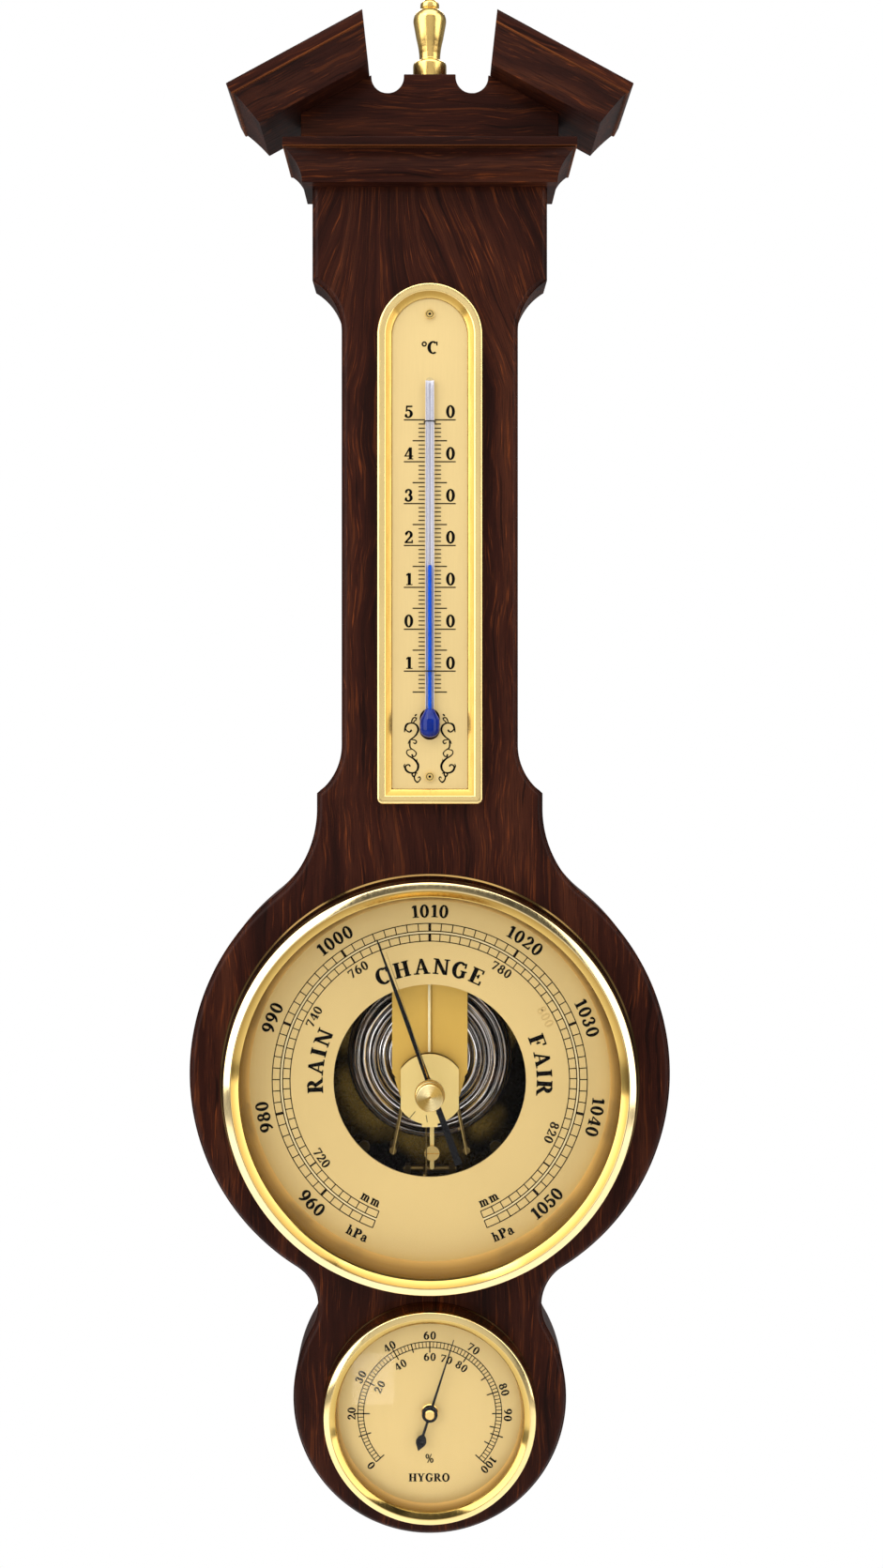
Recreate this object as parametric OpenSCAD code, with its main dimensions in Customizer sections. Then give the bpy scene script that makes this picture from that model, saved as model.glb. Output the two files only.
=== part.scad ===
// Banjo wall barometer: moulded wooden case, arched thermometer, aneroid barometer and hygrometer.
// +Z is up, the face looks along -Y and the back lies on y = 0. The origin is the keyhole of the hanger.

/* [Case] */
// Thickness of the case board
board_t = 24; // [22:0.5:28]
// Width of the frieze under the cornice
frieze_w = 83.6; // [80:0.2:86]
// Height of the cornice underside above the hanger
frieze_rise = 13.6; // [13:0.2:16]
// Depth of the frieze's lower corner below the hanger
frieze_drop = 19.2; // [17:0.2:22]
// Width of the neck
neck_w = 62.8; // [58:0.2:66]
// Height of the shoulder's corner above the thermometer frame's foot
lip_rise = 3.6; // [1:0.1:8]
// Radius of the coves above and below the neck
cove_r = 21.2; // [18:0.2:24]
// Width of the shoulder lip
lip_w = 80.4; // [77:0.2:84]
// Height of the shoulder lip
lip_h = 5.4; // [3:0.1:8]
// Depth of the disc's centre below the shoulder lip
disc_drop = 94.4; // [93:0.2:99]
// Width of the disc round the barometer's housing
disc_margin = 11.8; // [9.5:0.1:14]
// Sideways spread of the disc's two arcs
disc_spread = 4.3; // [3:0.1:6]
// Width of the waist
waist_w = 79.6; // [76:0.2:84]
// Radius of the hollow at the waist
waist_r = 16.2; // [15.5:0.1:18]
// Width of the bulb round the hygrometer's can
bulb_margin = 14.4; // [13:0.1:16]
// Radius of the rounded front edge
edge_r = 2; // [1.4:0.1:2.4]
// Width of the quirk outside the rounded edge
edge_quirk = 0.5; // [0.3:0.05:0.8]

/* [Pediment] */
// Half width of the cornice at its foot
cornice_foot = 45; // [44:0.1:48]
// Projection of the cornice foot from the wall
cornice_foot_h = 30.5; // [29:0.1:33]
// Forward reach of the cornice's cove
cornice_reach = 9.5; // [8:0.1:10]
// Sideways reach of the cornice's cove
cornice_side = 5.2; // [4:0.1:6]
// Height of the cornice's cove
cornice_cove = 9.7; // [9.5:0.1:10.5]
// Height of the cornice's top fillet
cornice_fillet = 3.4; // [2.5:0.1:4.5]
// Width of the tympanum board
tympanum_w = 91; // [88:0.5:94]
// Thickness of the tympanum board
tympanum_t = 22; // [20:0.5:24]
// Distance of the tympanum's back from the wall
tympanum_back = 6; // [3:0.5:8]
// Slope of the raking cornices in degrees
rake_slope = 28.5; // [27:0.1:30]
// Distance of a rake's lower outer corner from the middle
rake_out = 59; // [57:0.1:61]
// Height of a rake's lower outer corner above the cornice top
rake_rise = 4.6; // [4:0.1:6]
// Length of a rake along its underside
rake_len = 42.9; // [41.5:0.1:43.5]
// Lean of a rake's inner end in degrees from square
rake_lean = 22; // [20:0.5:24]
// Projection of a rake's foot from the wall
rake_foot_h = 41; // [38:0.5:43]
// Forward reach of a rake's cove
rake_reach = 9; // [8:0.1:9.8]
// Outward reach of a rake's cove at its end
rake_side = 3.4; // [2.5:0.1:4.5]
// Height of a rake's cove
rake_cove = 10.3; // [10:0.1:11]
// Height of a rake's top fillet
rake_fillet = 4.1; // [3:0.1:5]
// Depth of the shallow hollow in a rake's cove
rake_bow = 0.5; // [0.2:0.1:1.5]
// Step from a cove out to its fillet
fillet_step = 0.9; // [0.4:0.1:1.4]
// Height of the finial's platform above the cornice top
platform_rise = 25.7; // [24.7:0.1:27]
// Half width of the finial's platform
platform_half = 9.1; // [8.2:0.1:9.3]
// Radius of the notches beside the platform
notch_r = 5.75; // [5:0.05:6]
// Distance of a notch's centre from the middle
notch_x = 14.9; // [14.5:0.1:15.3]
// Depth of a notch's centre below the platform
notch_drop = 0.9; // [0:0.1:2]

/* [Finial] */
// Radius of the finial's foot
finial_foot_r = 6; // [5:0.1:7]
// Height of the finial's foot below its rounded shoulder
finial_foot_h = 5.1; // [4:0.1:6]
// Radius of the foot's rounded shoulder
finial_round = 2.4; // [1.5:0.1:3]
// Radius of the vase's round belly in side view
vase_belly = 4.7; // [4:0.1:5.2]
// Largest radius of the finial's vase
vase_r = 5.9; // [5:0.1:6.6]
// Height of the vase's widest place above the platform
vase_rise = 22.3; // [21:0.1:24]
// Radius of the vase's neck
vase_neck_r = 3.7; // [3.2:0.1:4.2]
// Radius of the button on top
button_r = 3.4; // [2.8:0.1:3.6]
// Height of the whole finial
finial_h = 30.2; // [29.6:0.1:31]
// Radius of the finial's stud
stud_r = 1.5; // [1:0.1:2]

/* [Hanger] */
// Radius of the keyhole's entry
keyhole_r = 4; // [3.5:0.1:4.5]
// Width of the keyhole's slot
keyhole_slot = 4.4; // [3.6:0.1:4.8]
// Reach of the keyhole's slot above its entry
keyhole_reach = 6.4; // [5.5:0.1:7]
// Width of the hanger plate
hanger_w = 24; // [22:0.5:28]
// Height of the hanger plate
hanger_h = 26; // [25:0.5:27]
// Thickness of the hanger plate
hanger_t = 1.5; // [1:0.1:2]
// Depth of the pocket behind the keyhole
hanger_pocket = 7; // [5:0.5:9]

/* [Thermometer] */
// Depth of the thermometer's top below the hanger
frame_drop = 20.9; // [20:0.1:24]
// Width of the thermometer frame
frame_w = 37.4; // [35:0.2:40]
// Width of the frame's brass section
frame_band = 5.3; // [4.5:0.1:6]
// Thickness of the frame
frame_t = 3.4; // [2.8:0.1:4]
// Thickness of the scale plate
plate_t = 0.8; // [0.6:0.1:1.2]
// Radius of the glass tube
tube_r = 1.6; // [1.4:0.05:1.9]
// Radius of the tube's bore
bore_r = 0.7; // [0.5:0.05:0.8]
// Radius of the tube's bulb
bulb_glass_r = 3.5; // [3:0.1:3.8]
// Length of the tube's bulb
bulb_glass_h = 10; // [9:0.1:11]
// Depth of the tube's top below the frame's top
tube_drop = 33.5; // [30:0.5:38]
// Length of the tube from its top to the bulb's middle
tube_len = 122.8; // [120:0.1:126]
// Height of the frame below the bulb's middle
frame_below = 28.3; // [26:0.1:32]
// Height of the liquid above the bulb's middle
liquid_h = 56.4; // [30:0.1:100]

/* [Barometer] */
// Depth of the dial's centre below the disc's centre
dial_offset = 3.1; // [1:0.1:4]
// Distance of the dial's face from the wall
dial_h = 20; // [19.8:0.1:20.6]
// Radius of the hole in the dial
dial_hole_r = 34.4; // [32:0.1:35]
// Radius of the housing
can_r = 69.5; // [68.5:0.1:70.5]
// Wall of the housing
can_wall = 1; // [0.8:0.1:1.2]
// Distance of the housing's back from the wall
can_back = 1.2; // [1:0.1:1.4]
// Width of the housing's flange
can_flange = 3.7; // [3.4:0.1:4]
// Distance of the bezel's front edge inside the housing's flange
bezel_inset = 2.1; // [1.4:0.1:2.4]
// Reach of the bezel's foot beyond its front edge
bezel_foot = 3.4; // [3:0.1:4]
// Height of the bezel above the case board
bezel_h = 11.2; // [11:0.1:12.5]
// Width of the bezel's front lip
bezel_lip = 3.7; // [3.3:0.1:4.4]
// Thickness of the glass
glass_t = 1.8; // [1.5:0.1:2]
// Distance of the glass's front behind the bezel's front
glass_drop = 2.1; // [1.6:0.1:2.4]
// Radius of the capsule
capsule_r = 29.8; // [28:0.1:30.5]
// Height of the capsule's centre above the dial's centre
capsule_rise = 7; // [6.5:0.1:8]
// Number of rings pressed into the capsule
capsule_rings = 6; // [4:1:8]
// Depth of the pressed rings
ring_depth = 0.6; // [0.3:0.05:0.7]
// Width of the bridge spring
bridge_w = 27.2; // [25:0.2:29]
// Radius of the movement's base plate
base_r = 46; // [45.6:0.1:47]
// Length of the pressure hand from its arbor to its tip
hand_len = 54.7; // [50:0.1:58]
// Length of the pressure hand's tail
hand_tail = 30; // [26:0.5:33]
// Length of the set hand
set_len = 50; // [45:0.5:56]
// Radius of the set knob
knob_r = 4.75; // [4:0.05:5.2]
// Height of the set knob above the bezel's front
knob_h = 13.6; // [10:0.1:16]

/* [Hygrometer] */
// Depth of the hygrometer's centre below the bulb's centre
hygro_offset = 3.4; // [1:0.1:4.4]
// Radius of the hygrometer's can
hygro_can_r = 34.2; // [33.8:0.1:34.6]
// Depth of the hygrometer's can in the board
hygro_can_d = 15; // [12:0.5:15.5]
// Distance of the hygrometer bezel's front edge outside its can
hygro_bezel_out = 3; // [2.6:0.1:3.4]
// Width of the hygrometer bezel's front lip
hygro_lip = 3.9; // [3.7:0.1:4.3]
// Reach of the hygrometer bezel's foot beyond its front edge
hygro_foot = 0.8; // [0.6:0.1:1.4]
// Height of the hygrometer bezel above the case board
hygro_bezel_h = 10.3; // [10:0.1:11]
// Length of the humidity hand
hygro_hand_len = 27.6; // [24:0.1:29]

/* [Hidden] */

$fn = 96;
over = 1;
fit = 0.05;
seat = 0.1;

// Heights of the case's outline
frame_h = tube_drop + tube_len + frame_below;
disc_r = can_r + disc_margin;
bulb_r = hygro_can_r + bulb_margin;
bezel_r = can_r + can_flange - bezel_inset;
hygro_bezel_r = hygro_can_r + hygro_bezel_out;
z_frieze = -frieze_drop;
z_lip = lip_rise - frame_drop - frame_h;
z_ogee = z_lip - lip_h;
z_disc = z_ogee - disc_drop;
z_waist = z_disc - hollow_drop(disc_spread, disc_r);
z_bulb = z_waist - hollow_drop(0, bulb_r);
z_baro = z_disc - dial_offset;
z_hygro = z_bulb - hygro_offset;

// Height between the waist and the centre of a circle that the waist's hollow touches
function hollow_drop(spread, r) =
    let (w = waist_w / 2 - spread) sqrt((r - w) * (r + w + 2 * waist_r));

// Radius of a hollow that leaves a vertical line at half width w and touches a circle from outside
function hollow_r(w, spread, r, dz) = (pow(w - spread, 2) + dz * dz - r * r) / (2 * (r - w + spread));

cove_x = neck_w / 2 + cove_r;
z_cove_top = z_frieze - sqrt(pow(cove_r, 2) - pow(cove_x - frieze_w / 2, 2));
z_cove_low = z_lip + sqrt(pow(cove_r, 2) - pow(cove_x - lip_w / 2, 2));
ogee_r = hollow_r(lip_w / 2, disc_spread, disc_r, disc_drop);
ogee_x = lip_w / 2 + ogee_r;
ogee_a = atan2(disc_drop, ogee_x - disc_spread);
waist_x = waist_w / 2 + waist_r;
waist_top_a = atan2(z_disc - z_waist, waist_x - disc_spread);
waist_low_a = atan2(z_waist - z_bulb, waist_x);

// Hollows go this much deeper than touching, so that they cross the arcs and lines they run into
nest = 0.05;

// Levels of the pediment
cornice_h = cornice_foot_h + cornice_reach + fillet_step;
z_cornice = frieze_rise + cornice_cove + cornice_fillet;
z_rake = z_cornice + rake_rise;
z_platform = z_cornice + platform_rise;
tympanum_h = tympanum_back + tympanum_t;
finial_y = tympanum_back + tympanum_t / 2;
rake_v = rake_cove + rake_fillet;
rake_h = rake_foot_h + rake_reach + fillet_step;

// Wooden dowels
dowel_r = 3;
dowel_len = 22;
dowel_x = 26;
dowel_y = board_t / 2;
pin_r = 2.5;
pin_len = 20;
pin_x = 35;
rake_pin_r = 1.5;
rake_pin_len = 8;
rake_pins = [18, 33];

// Levels of the movement, as distances from the wall
h_plate = can_back + can_wall;
plate_top = h_plate + 1.5;
z_caps = z_baro + capsule_rise;
capsule_mid = 8;
capsule_half = 2.85;
boss_r = 5;
boss_half = 3.9;
rim_t = 0.6;
h_spring = 12.6;
spring_t = 1;
rib_h = 0.7;
h_frame = 14.9;
sheet_t = 0.6;
h_cock = 17.6;
cock_t = 0.8;
dial_t = 0.8;
dial_back = dial_h - dial_t;
arbor_r = 0.6;
drum_r = 0.9;
drum_h = [15.7, 16.5];
collet_r = 1.1;
arm_len = 10;
shaft_h = 6;
shaft_r = 0.8;
z_shaft = z_baro - 35;
shaft_half = 9.6;
lug_x = 8;
lug_t = 2;
flange_t = 1;
z_spring_end = z_baro - 7.9;
foot_low = capsule_r + 1.7;
foot_high = foot_low + 7.5;

// Levels of the glass, the hands and the knob
h_bezel = board_t + bezel_h;
glass_front = h_bezel - glass_drop;
glass_back = glass_front - glass_t;
hand_h = dial_h + 7;
hand_t = 0.4;
set_h = glass_back - 1.6;
spindle_r = 1.6;
hand_rest = 20;
set_rest = 18.1;

// Levels of the hygrometer
hygro_back = board_t - hygro_can_d;
h_hygro = board_t + hygro_bezel_h;
hygro_glass_t = 1.4;
hygro_glass_back = h_hygro - 3.2;
hygro_dial_h = hygro_glass_back - 4;
hygro_hand_h = hygro_glass_back - 1.6;
hygro_wall = 0.8;
hygro_arbor_r = 0.5;
hygro_rest = 17.8;
bush_step = 0.8;
hub_cap = [1.7, 0.6];

// Places of the thermometer
z_frame = -frame_drop;
frame_half = frame_w / 2;
z_arch = z_frame - frame_half;
z_frame_low = z_frame - frame_h;
plate_half = frame_half - frame_band;
z_tube = z_frame - tube_drop;
z_glass_bulb = z_tube - tube_len;
tube_h = board_t + plate_t + tube_r + fit;
screw_zs = [z_frame - 10.9, z_frame_low + 9.7];
tie_zs = [z_tube - 15.7, z_glass_bulb + 18.8];
tie_r = 0.25;

wood = "#3a1a12";
brass = "#d8b04a";
pale_brass = "#e6cf8e";
steel = "#c9ccd0";
black = "#151517";
glassy = [0.85, 0.92, 0.95, 0.35];

// Lays a flat drawing (x across, y up) on the plane that is h in front of the wall
module plane(h) {
    translate([0, -h, 0]) rotate([90, 0, 0]) children();
}

// Thickens a flat drawing from h0 to h1 in front of the wall
module slab(h0, h1) {
    plane(h0) linear_extrude(h1 - h0) children();
}

// Thickens several flat pieces that make one body
module slabs(h0, h1) {
    for (i = [0:$children - 1]) slab(h0, h1) children(i);
}

// Turns a profile (radius, distance from the wall) about an axis square to the wall
module turned(z, x = 0) {
    translate([x, 0, z]) rotate([90, 0, 0]) rotate_extrude() children();
}

// Runs a side profile (distance from the wall, height) across the case
module across(w) {
    translate([w / 2, 0, 0]) rotate([90, 0, -90]) linear_extrude(w) children();
}

module both_sides() {
    children();
    mirror([1, 0, 0]) children();
}

// Pin square to the wall
module pin(x, z, r, h0, h1) {
    translate([x, -h0, z]) rotate([90, 0, 0]) cylinder(r = r, h = h1 - h0);
}

module box(x0, x1, h0, h1, z0, z1) {
    translate([x0, -h1, z0]) cube([x1 - x0, h1 - h0, z1 - z0]);
}

// Slotted screw head on a plane
module screw_head(x, z, h, r, t, slot = 0.5) {
    difference() {
        pin(x, z, r, h, h + t);
        box(x - r - over, x + r + over, h + t * 0.5, h + t + over, z - slot / 2, z + slot / 2);
    }
}

// Countersunk screw whose head is flush at h and whose shank runs towards the wall or away from it
module flush_screw(x, z, h, away, r, shank, len) {
    depth = r - shank;
    translate([x, -h, z]) rotate([away > 0 ? 90 : -90, 0, 0]) difference() {
        union() {
            cylinder(r1 = r, r2 = shank, h = depth);
            cylinder(r = shank, h = len);
        }
        translate([-r - over, -0.25, -over]) cube([2 * r + 2 * over, 0.5, over + depth * 0.5]);
    }
}

module flush_hole(x, z, h, away, r, shank, len) {
    depth = r - shank;
    translate([x, -h, z]) rotate([away > 0 ? 90 : -90, 0, 0]) {
        cylinder(r1 = r, r2 = shank + fit, h = depth);
        cylinder(r = shank + fit, h = len + seat);
    }
}

// Case board

function ring_point(x, z, r, a) = [x + r * cos(a), z + r * sin(a)];
case_side = [[frieze_w / 2, frieze_rise], [frieze_w / 2, z_cove_top], [neck_w / 2, z_cove_top],
    [neck_w / 2, z_cove_low], [lip_w / 2, z_cove_low], [lip_w / 2, z_ogee],
    ring_point(disc_spread, z_disc, disc_r, ogee_a),
    ring_point(disc_spread, z_disc, disc_r, -waist_top_a),
    ring_point(0, z_bulb, bulb_r, waist_low_a)];

module pair(x, z, r) {
    for (s = [-1, 1]) translate([s * x, z]) circle(r = r);
}

module case_blank() {
    last = len(case_side) - 1;
    slabs(0, board_t) {
        difference() {
            polygon(concat(case_side, [for (i = [last:-1:0]) [-case_side[i][0], case_side[i][1]]]));
            pair(cove_x, z_cove_top, cove_r + nest);
            pair(cove_x, z_cove_low, cove_r + nest);
            pair(ogee_x, z_ogee, ogee_r + nest);
            pair(waist_x, z_waist, waist_r + nest);
        }
        translate([disc_spread, z_disc]) circle(r = disc_r);
        translate([-disc_spread, z_disc]) circle(r = disc_r);
        translate([0, z_bulb]) circle(r = bulb_r);
    }
}

// What the front edge loses: x is the inset from the outline, y the height over the board
module edge_void(deeper = 0) {
    lift = 0.3;
    difference() {
        translate([-over, -edge_r - deeper])
            square([edge_quirk + edge_r + lift + over, edge_r + deeper + over]);
        translate([edge_quirk + edge_r + lift, -edge_r - lift]) circle(r = edge_r + lift + 0.05);
    }
}

module edge_line(x, z0, z1) {
    plane(board_t) translate([x, z0, 0]) rotate([90, 0, 0]) linear_extrude(z0 - z1)
        mirror([1, 0, 0]) edge_void();
}

// Front edge along an arc whose wood is inside it
module edge_bulge(x, z, r, a0, a1) {
    plane(board_t) translate([x, z, 0]) rotate([0, 0, a0]) rotate_extrude(angle = a1 - a0)
        translate([r, 0]) mirror([1, 0, 0]) edge_void();
}

// Front edge along an arc whose wood is outside it, run on past both ends
module edge_hollow(x, z, r, a0, a1) {
    past = 6;
    plane(board_t) translate([x, z, 0]) rotate([0, 0, a0 - past])
        rotate_extrude(angle = a1 - a0 + 2 * past) translate([r + nest, 0]) edge_void(nest);
}

// One stretch of the front edge, from the top of the case down
module edge_stretch(i) {
    cove_top_a = acos((cove_x - frieze_w / 2) / cove_r);
    cove_low_a = acos((cove_x - lip_w / 2) / cove_r);
    if (i == 0) edge_line(frieze_w / 2, frieze_rise + over, z_frieze - over);
    if (i == 1) edge_hollow(cove_x, z_cove_top, cove_r, 180 - cove_top_a, 180);
    if (i == 2) edge_line(neck_w / 2, z_cove_top, z_cove_low);
    if (i == 3) edge_hollow(cove_x, z_cove_low, cove_r, 180, 180 + cove_low_a);
    if (i == 4) edge_line(lip_w / 2, z_lip + over, z_ogee);
    if (i == 5) edge_hollow(ogee_x, z_ogee, ogee_r, 180, 180 + ogee_a);
    if (i == 6) edge_bulge(disc_spread, z_disc, disc_r, -waist_top_a, ogee_a);
    if (i == 7) edge_hollow(waist_x, z_waist, waist_r, 180 - waist_top_a, 180 + waist_low_a);
    if (i == 8) edge_bulge(0, z_bulb, bulb_r, -90, waist_low_a);
}

// The board with the first i stretches of its edge worked, one after the other
module worked_board(i) {
    if (i == 0) case_blank();
    else difference() {
        worked_board(i - 1);
        both_sides() edge_stretch(i - 1);
    }
}

module keyhole() {
    circle(r = keyhole_r);
    translate([-keyhole_slot / 2, 0]) square([keyhole_slot, keyhole_reach]);
    translate([0, keyhole_reach]) circle(d = keyhole_slot);
}

hanger_low = 2 - hanger_h / 2 - 4;
hanger_screw_x = hanger_w / 2 - 4;
hanger_screw_zs = [hanger_low + 4, hanger_low + hanger_h - 4];
hanger_screw_r = 2;
hanger_shank = 1.1;
hanger_screw_len = 10;

module hanger_outline(gap = 0) {
    translate([-hanger_w / 2 - gap, hanger_low - gap])
        square([hanger_w + 2 * gap, hanger_h + 2 * gap]);
}

module hanger_pocket() {
    room = 1.5;
    slab(-over, hanger_t) hanger_outline(seat);
    slabs(0, hanger_t + hanger_pocket) {
        circle(r = keyhole_r + room);
        translate([-keyhole_r - room, 0]) square([2 * keyhole_r + 2 * room, keyhole_reach]);
        translate([0, keyhole_reach]) circle(r = keyhole_r + room);
    }
}

// Window under the thermometer's bulb
module bulb_window(h0, h1, gap) {
    pin(0, z_glass_bulb, bulb_glass_r + gap, h0, h1);
    pin(0, z_glass_bulb + 2, bulb_glass_r + gap, h0, h1);
    pin(0, z_glass_bulb - 2, bulb_glass_r + gap, h0, h1);
}

module dowels(x, y, z, r, len) {
    for (s = [-1, 1]) translate([s * x, -y, z - len / 2]) cylinder(r = r, h = len);
}

module case_body() {
    color(wood) difference() {
        worked_board(9);
        pin(0, z_baro, can_r + seat, -over, board_t + over);
        pin(0, z_hygro, hygro_can_r + seat, hygro_back, board_t + over);
        hanger_pocket();
        for (s = [-1, 1], z = hanger_screw_zs)
            flush_hole(s * hanger_screw_x, z, 0, 1, hanger_screw_r, hanger_shank, hanger_screw_len);
        dowels(dowel_x, dowel_y, frieze_rise, dowel_r + fit, dowel_len + 2 * seat);
        for (z = screw_zs) pin(0, z, plate_screw_r + fit, board_t - plate_screw_len, board_t + over);
        for (a = flange_angles) flange_screw_hole(a);
        bulb_window(tube_h - bulb_glass_r - seat, board_t + over, seat);
    }
}

module case_dowels() {
    color("tan") dowels(dowel_x, dowel_y, frieze_rise, dowel_r, dowel_len);
}

// Pediment

// Depth of a hollow that leaves its foot upright
function full_bow(reach, cove) = hollow_depth((reach * reach + cove * cove) / (2 * reach), norm([reach, cove]));
function hollow_depth(r, chord) = r - sqrt(r * r - chord * chord / 4);

// Side profile of a cornice: foot, cove hollowed by bow, step and fillet
module cornice_profile(foot, reach, cove, fillet, bow) {
    chord = norm([reach, cove]);
    r = (chord * chord / 4 + bow * bow) / (2 * bow);
    out = (r - bow) / chord;
    difference() {
        square([foot + reach, cove]);
        translate([foot + reach / 2 + out * cove, cove / 2 - out * reach]) circle(r = r);
    }
    translate([0, cove]) square([foot + reach + fillet_step, fillet]);
}

module cornice_end() {
    cornice_profile(cornice_foot, cornice_side, cornice_cove, cornice_fillet,
        full_bow(cornice_side, cornice_cove));
}

module cornice() {
    w = 2 * (cornice_foot + cornice_side + fillet_step);
    color(wood) difference() {
        intersection() {
            across(w) translate([0, frieze_rise])
                cornice_profile(cornice_foot_h, cornice_reach, cornice_cove, cornice_fillet,
                    full_bow(cornice_reach, cornice_cove));
            slab(0, cornice_h) translate([0, frieze_rise]) {
                cornice_end();
                mirror([1, 0, 0]) cornice_end();
            }
        }
        dowels(dowel_x, dowel_y, frieze_rise, dowel_r + fit, dowel_len + 2 * seat);
        dowels(pin_x, finial_y, z_cornice, pin_r + fit, pin_len + 2 * seat);
    }
}

module cornice_dowels() {
    color("tan") dowels(pin_x, finial_y, z_cornice, pin_r, pin_len);
}

// Height of the rakes' underside at a distance from the middle
function z_under(x) = z_rake + (rake_out - x) * tan(rake_slope);

module tympanum() {
    half = tympanum_w / 2;
    wall = notch_x + notch_r;
    z_notch = z_platform - notch_drop;
    color(wood) difference() {
        slab(tympanum_back, tympanum_h) difference() {
            polygon([[-half, z_cornice], [half, z_cornice], [half, z_under(half)],
                [wall, z_under(wall)], [wall, z_platform], [-wall, z_platform],
                [-wall, z_under(wall)], [-half, z_under(half)]]);
            pair(notch_x, z_notch, notch_r);
            for (s = [-1, 1]) translate([s * notch_x - notch_r, z_notch])
                square([2 * notch_r, 2 * notch_r]);
        }
        dowels(pin_x, finial_y, z_cornice, pin_r + fit, pin_len + 2 * seat);
        translate([0, -finial_y, z_platform - stud_deep - seat]) cylinder(r = stud_r + fit, h = stud_deep + over);
        both_sides() rake_frame() rake_holes();
    }
}

// Frame of the left rake: x runs up the slope and z square to it
module rake_frame() {
    translate([-rake_out, 0, z_rake]) rotate([0, -rake_slope, 0]) children();
}

module rake_holes() {
    for (u = rake_pins) translate([u, -finial_y, -rake_pin_len / 2 - seat])
        cylinder(r = rake_pin_r + fit, h = rake_pin_len + 2 * seat);
}

module rake() {
    reach = rake_v * tan(rake_lean);
    cut = rake_len + 2 * rake_v;
    color(wood) rake_frame() difference() {
        intersection() {
            across(4 * rake_len) cornice_profile(rake_foot_h, rake_reach, rake_cove, rake_fillet, rake_bow);
            slab(0, rake_h) difference() {
                union() {
                    square([cut, rake_v]);
                    mirror([1, 0, 0]) cornice_profile(0, rake_side, rake_cove, rake_fillet, rake_bow / 2);
                }
                polygon([[rake_len, -over], [rake_len, 0], [rake_len + reach, rake_v],
                    [rake_len + reach, rake_v + over], [cut + over, rake_v + over], [cut + over, -over]]);
            }
        }
        rake_holes();
    }
}

module raking_cornice_left() {
    rake();
}

module raking_cornice_right() {
    mirror([1, 0, 0]) rake();
}

module rake_dowels() {
    color("tan") both_sides() rake_frame() for (u = rake_pins)
        translate([u, -finial_y, -rake_pin_len / 2]) cylinder(r = rake_pin_r, h = rake_pin_len);
}

// Finial

stud_deep = 10;
stud_up = 8;

module finial() {
    ring_r = 0.65;
    ring_z = finial_foot_h + finial_round + ring_r - 0.1;
    vase_low = ring_z + ring_r - 0.15;
    belly_x = vase_r - vase_belly;
    belly_a = 12;
    color(brass) translate([0, -finial_y, z_platform]) difference() {
        rotate_extrude() intersection() {
            union() {
                square([finial_foot_r, finial_foot_h]);
                translate([finial_foot_r - finial_round, finial_foot_h]) circle(r = finial_round);
                square([finial_foot_r - finial_round, finial_foot_h + finial_round]);
                translate([vase_neck_r - ring_r + 0.15, ring_z]) circle(r = ring_r);
                square([vase_neck_r - ring_r, finial_h - button_r]);
                polygon([[0, vase_low], [vase_neck_r, vase_low], [vase_neck_r + 0.1, vase_low + 1.9],
                    [vase_neck_r + 0.35, vase_low + 3.9], [vase_neck_r + 0.7, vase_low + 5.7],
                    [vase_neck_r + 1.15, vase_low + 7.6],
                    [belly_x + vase_belly * cos(belly_a), vase_rise - vase_belly * sin(belly_a)],
                    [0, vase_rise]]);
                translate([belly_x, vase_rise]) circle(r = vase_belly);
                square([button_r - 0.1, finial_h - button_r]);
                translate([0, finial_h - button_r]) circle(r = button_r);
            }
            square([2 * finial_foot_r, finial_h]);
        }
        translate([0, 0, -over]) cylinder(r = stud_r + fit, h = stud_up + over + seat);
    }
}

module finial_stud() {
    color(steel) translate([0, -finial_y, z_platform - stud_deep]) cylinder(r = stud_r, h = stud_deep + stud_up);
}

// Hanger

module hanger_plate() {
    color(steel) difference() {
        slab(0, hanger_t) difference() {
            hanger_outline();
            keyhole();
        }
        for (s = [-1, 1], z = hanger_screw_zs)
            flush_hole(s * hanger_screw_x, z, 0, 1, hanger_screw_r, hanger_shank, hanger_screw_len);
    }
}

module hanger_screws() {
    color(brass) for (s = [-1, 1], z = hanger_screw_zs)
        flush_screw(s * hanger_screw_x, z, 0, 1, hanger_screw_r, hanger_shank, hanger_screw_len);
}

// Thermometer

plate_screw_r = 0.9;
plate_screw_len = 8;

module arch_outline(half, low, corner) {
    translate([0, z_arch]) circle(r = half);
    translate([-half, low + corner]) square([2 * half, z_arch - low - corner]);
    translate([-half + corner, low]) square([2 * half - 2 * corner, corner]);
    for (s = [-1, 1]) translate([s * (half - corner), low + corner]) circle(r = corner);
}

// Section of the frame: x is the inset from its outer edge, y the height over the board
module frame_section() {
    flat = frame_band * 0.55;
    polygon([[0, 0], [0, frame_t - 0.5], [0.5, frame_t], [flat, frame_t],
        [frame_band, frame_t * 0.45], [frame_band, 0]]);
}

module thermometer_frame() {
    corner = 2.5;
    side = z_arch - z_frame_low;
    color(brass) intersection() {
        plane(board_t) union() {
            translate([0, z_arch, 0]) rotate_extrude(angle = 180)
                translate([frame_half, 0]) mirror([1, 0, 0]) frame_section();
            for (s = [0, 1]) mirror([s, 0, 0]) translate([frame_half, z_arch, 0]) rotate([90, 0, 0])
                linear_extrude(side) mirror([1, 0, 0]) frame_section();
            translate([-frame_half, z_frame_low, 0]) rotate([90, 0, 90])
                linear_extrude(frame_w) frame_section();
        }
        slab(board_t - over, board_t + frame_t + over) arch_outline(frame_half, z_frame_low, corner);
    }
}

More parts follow.
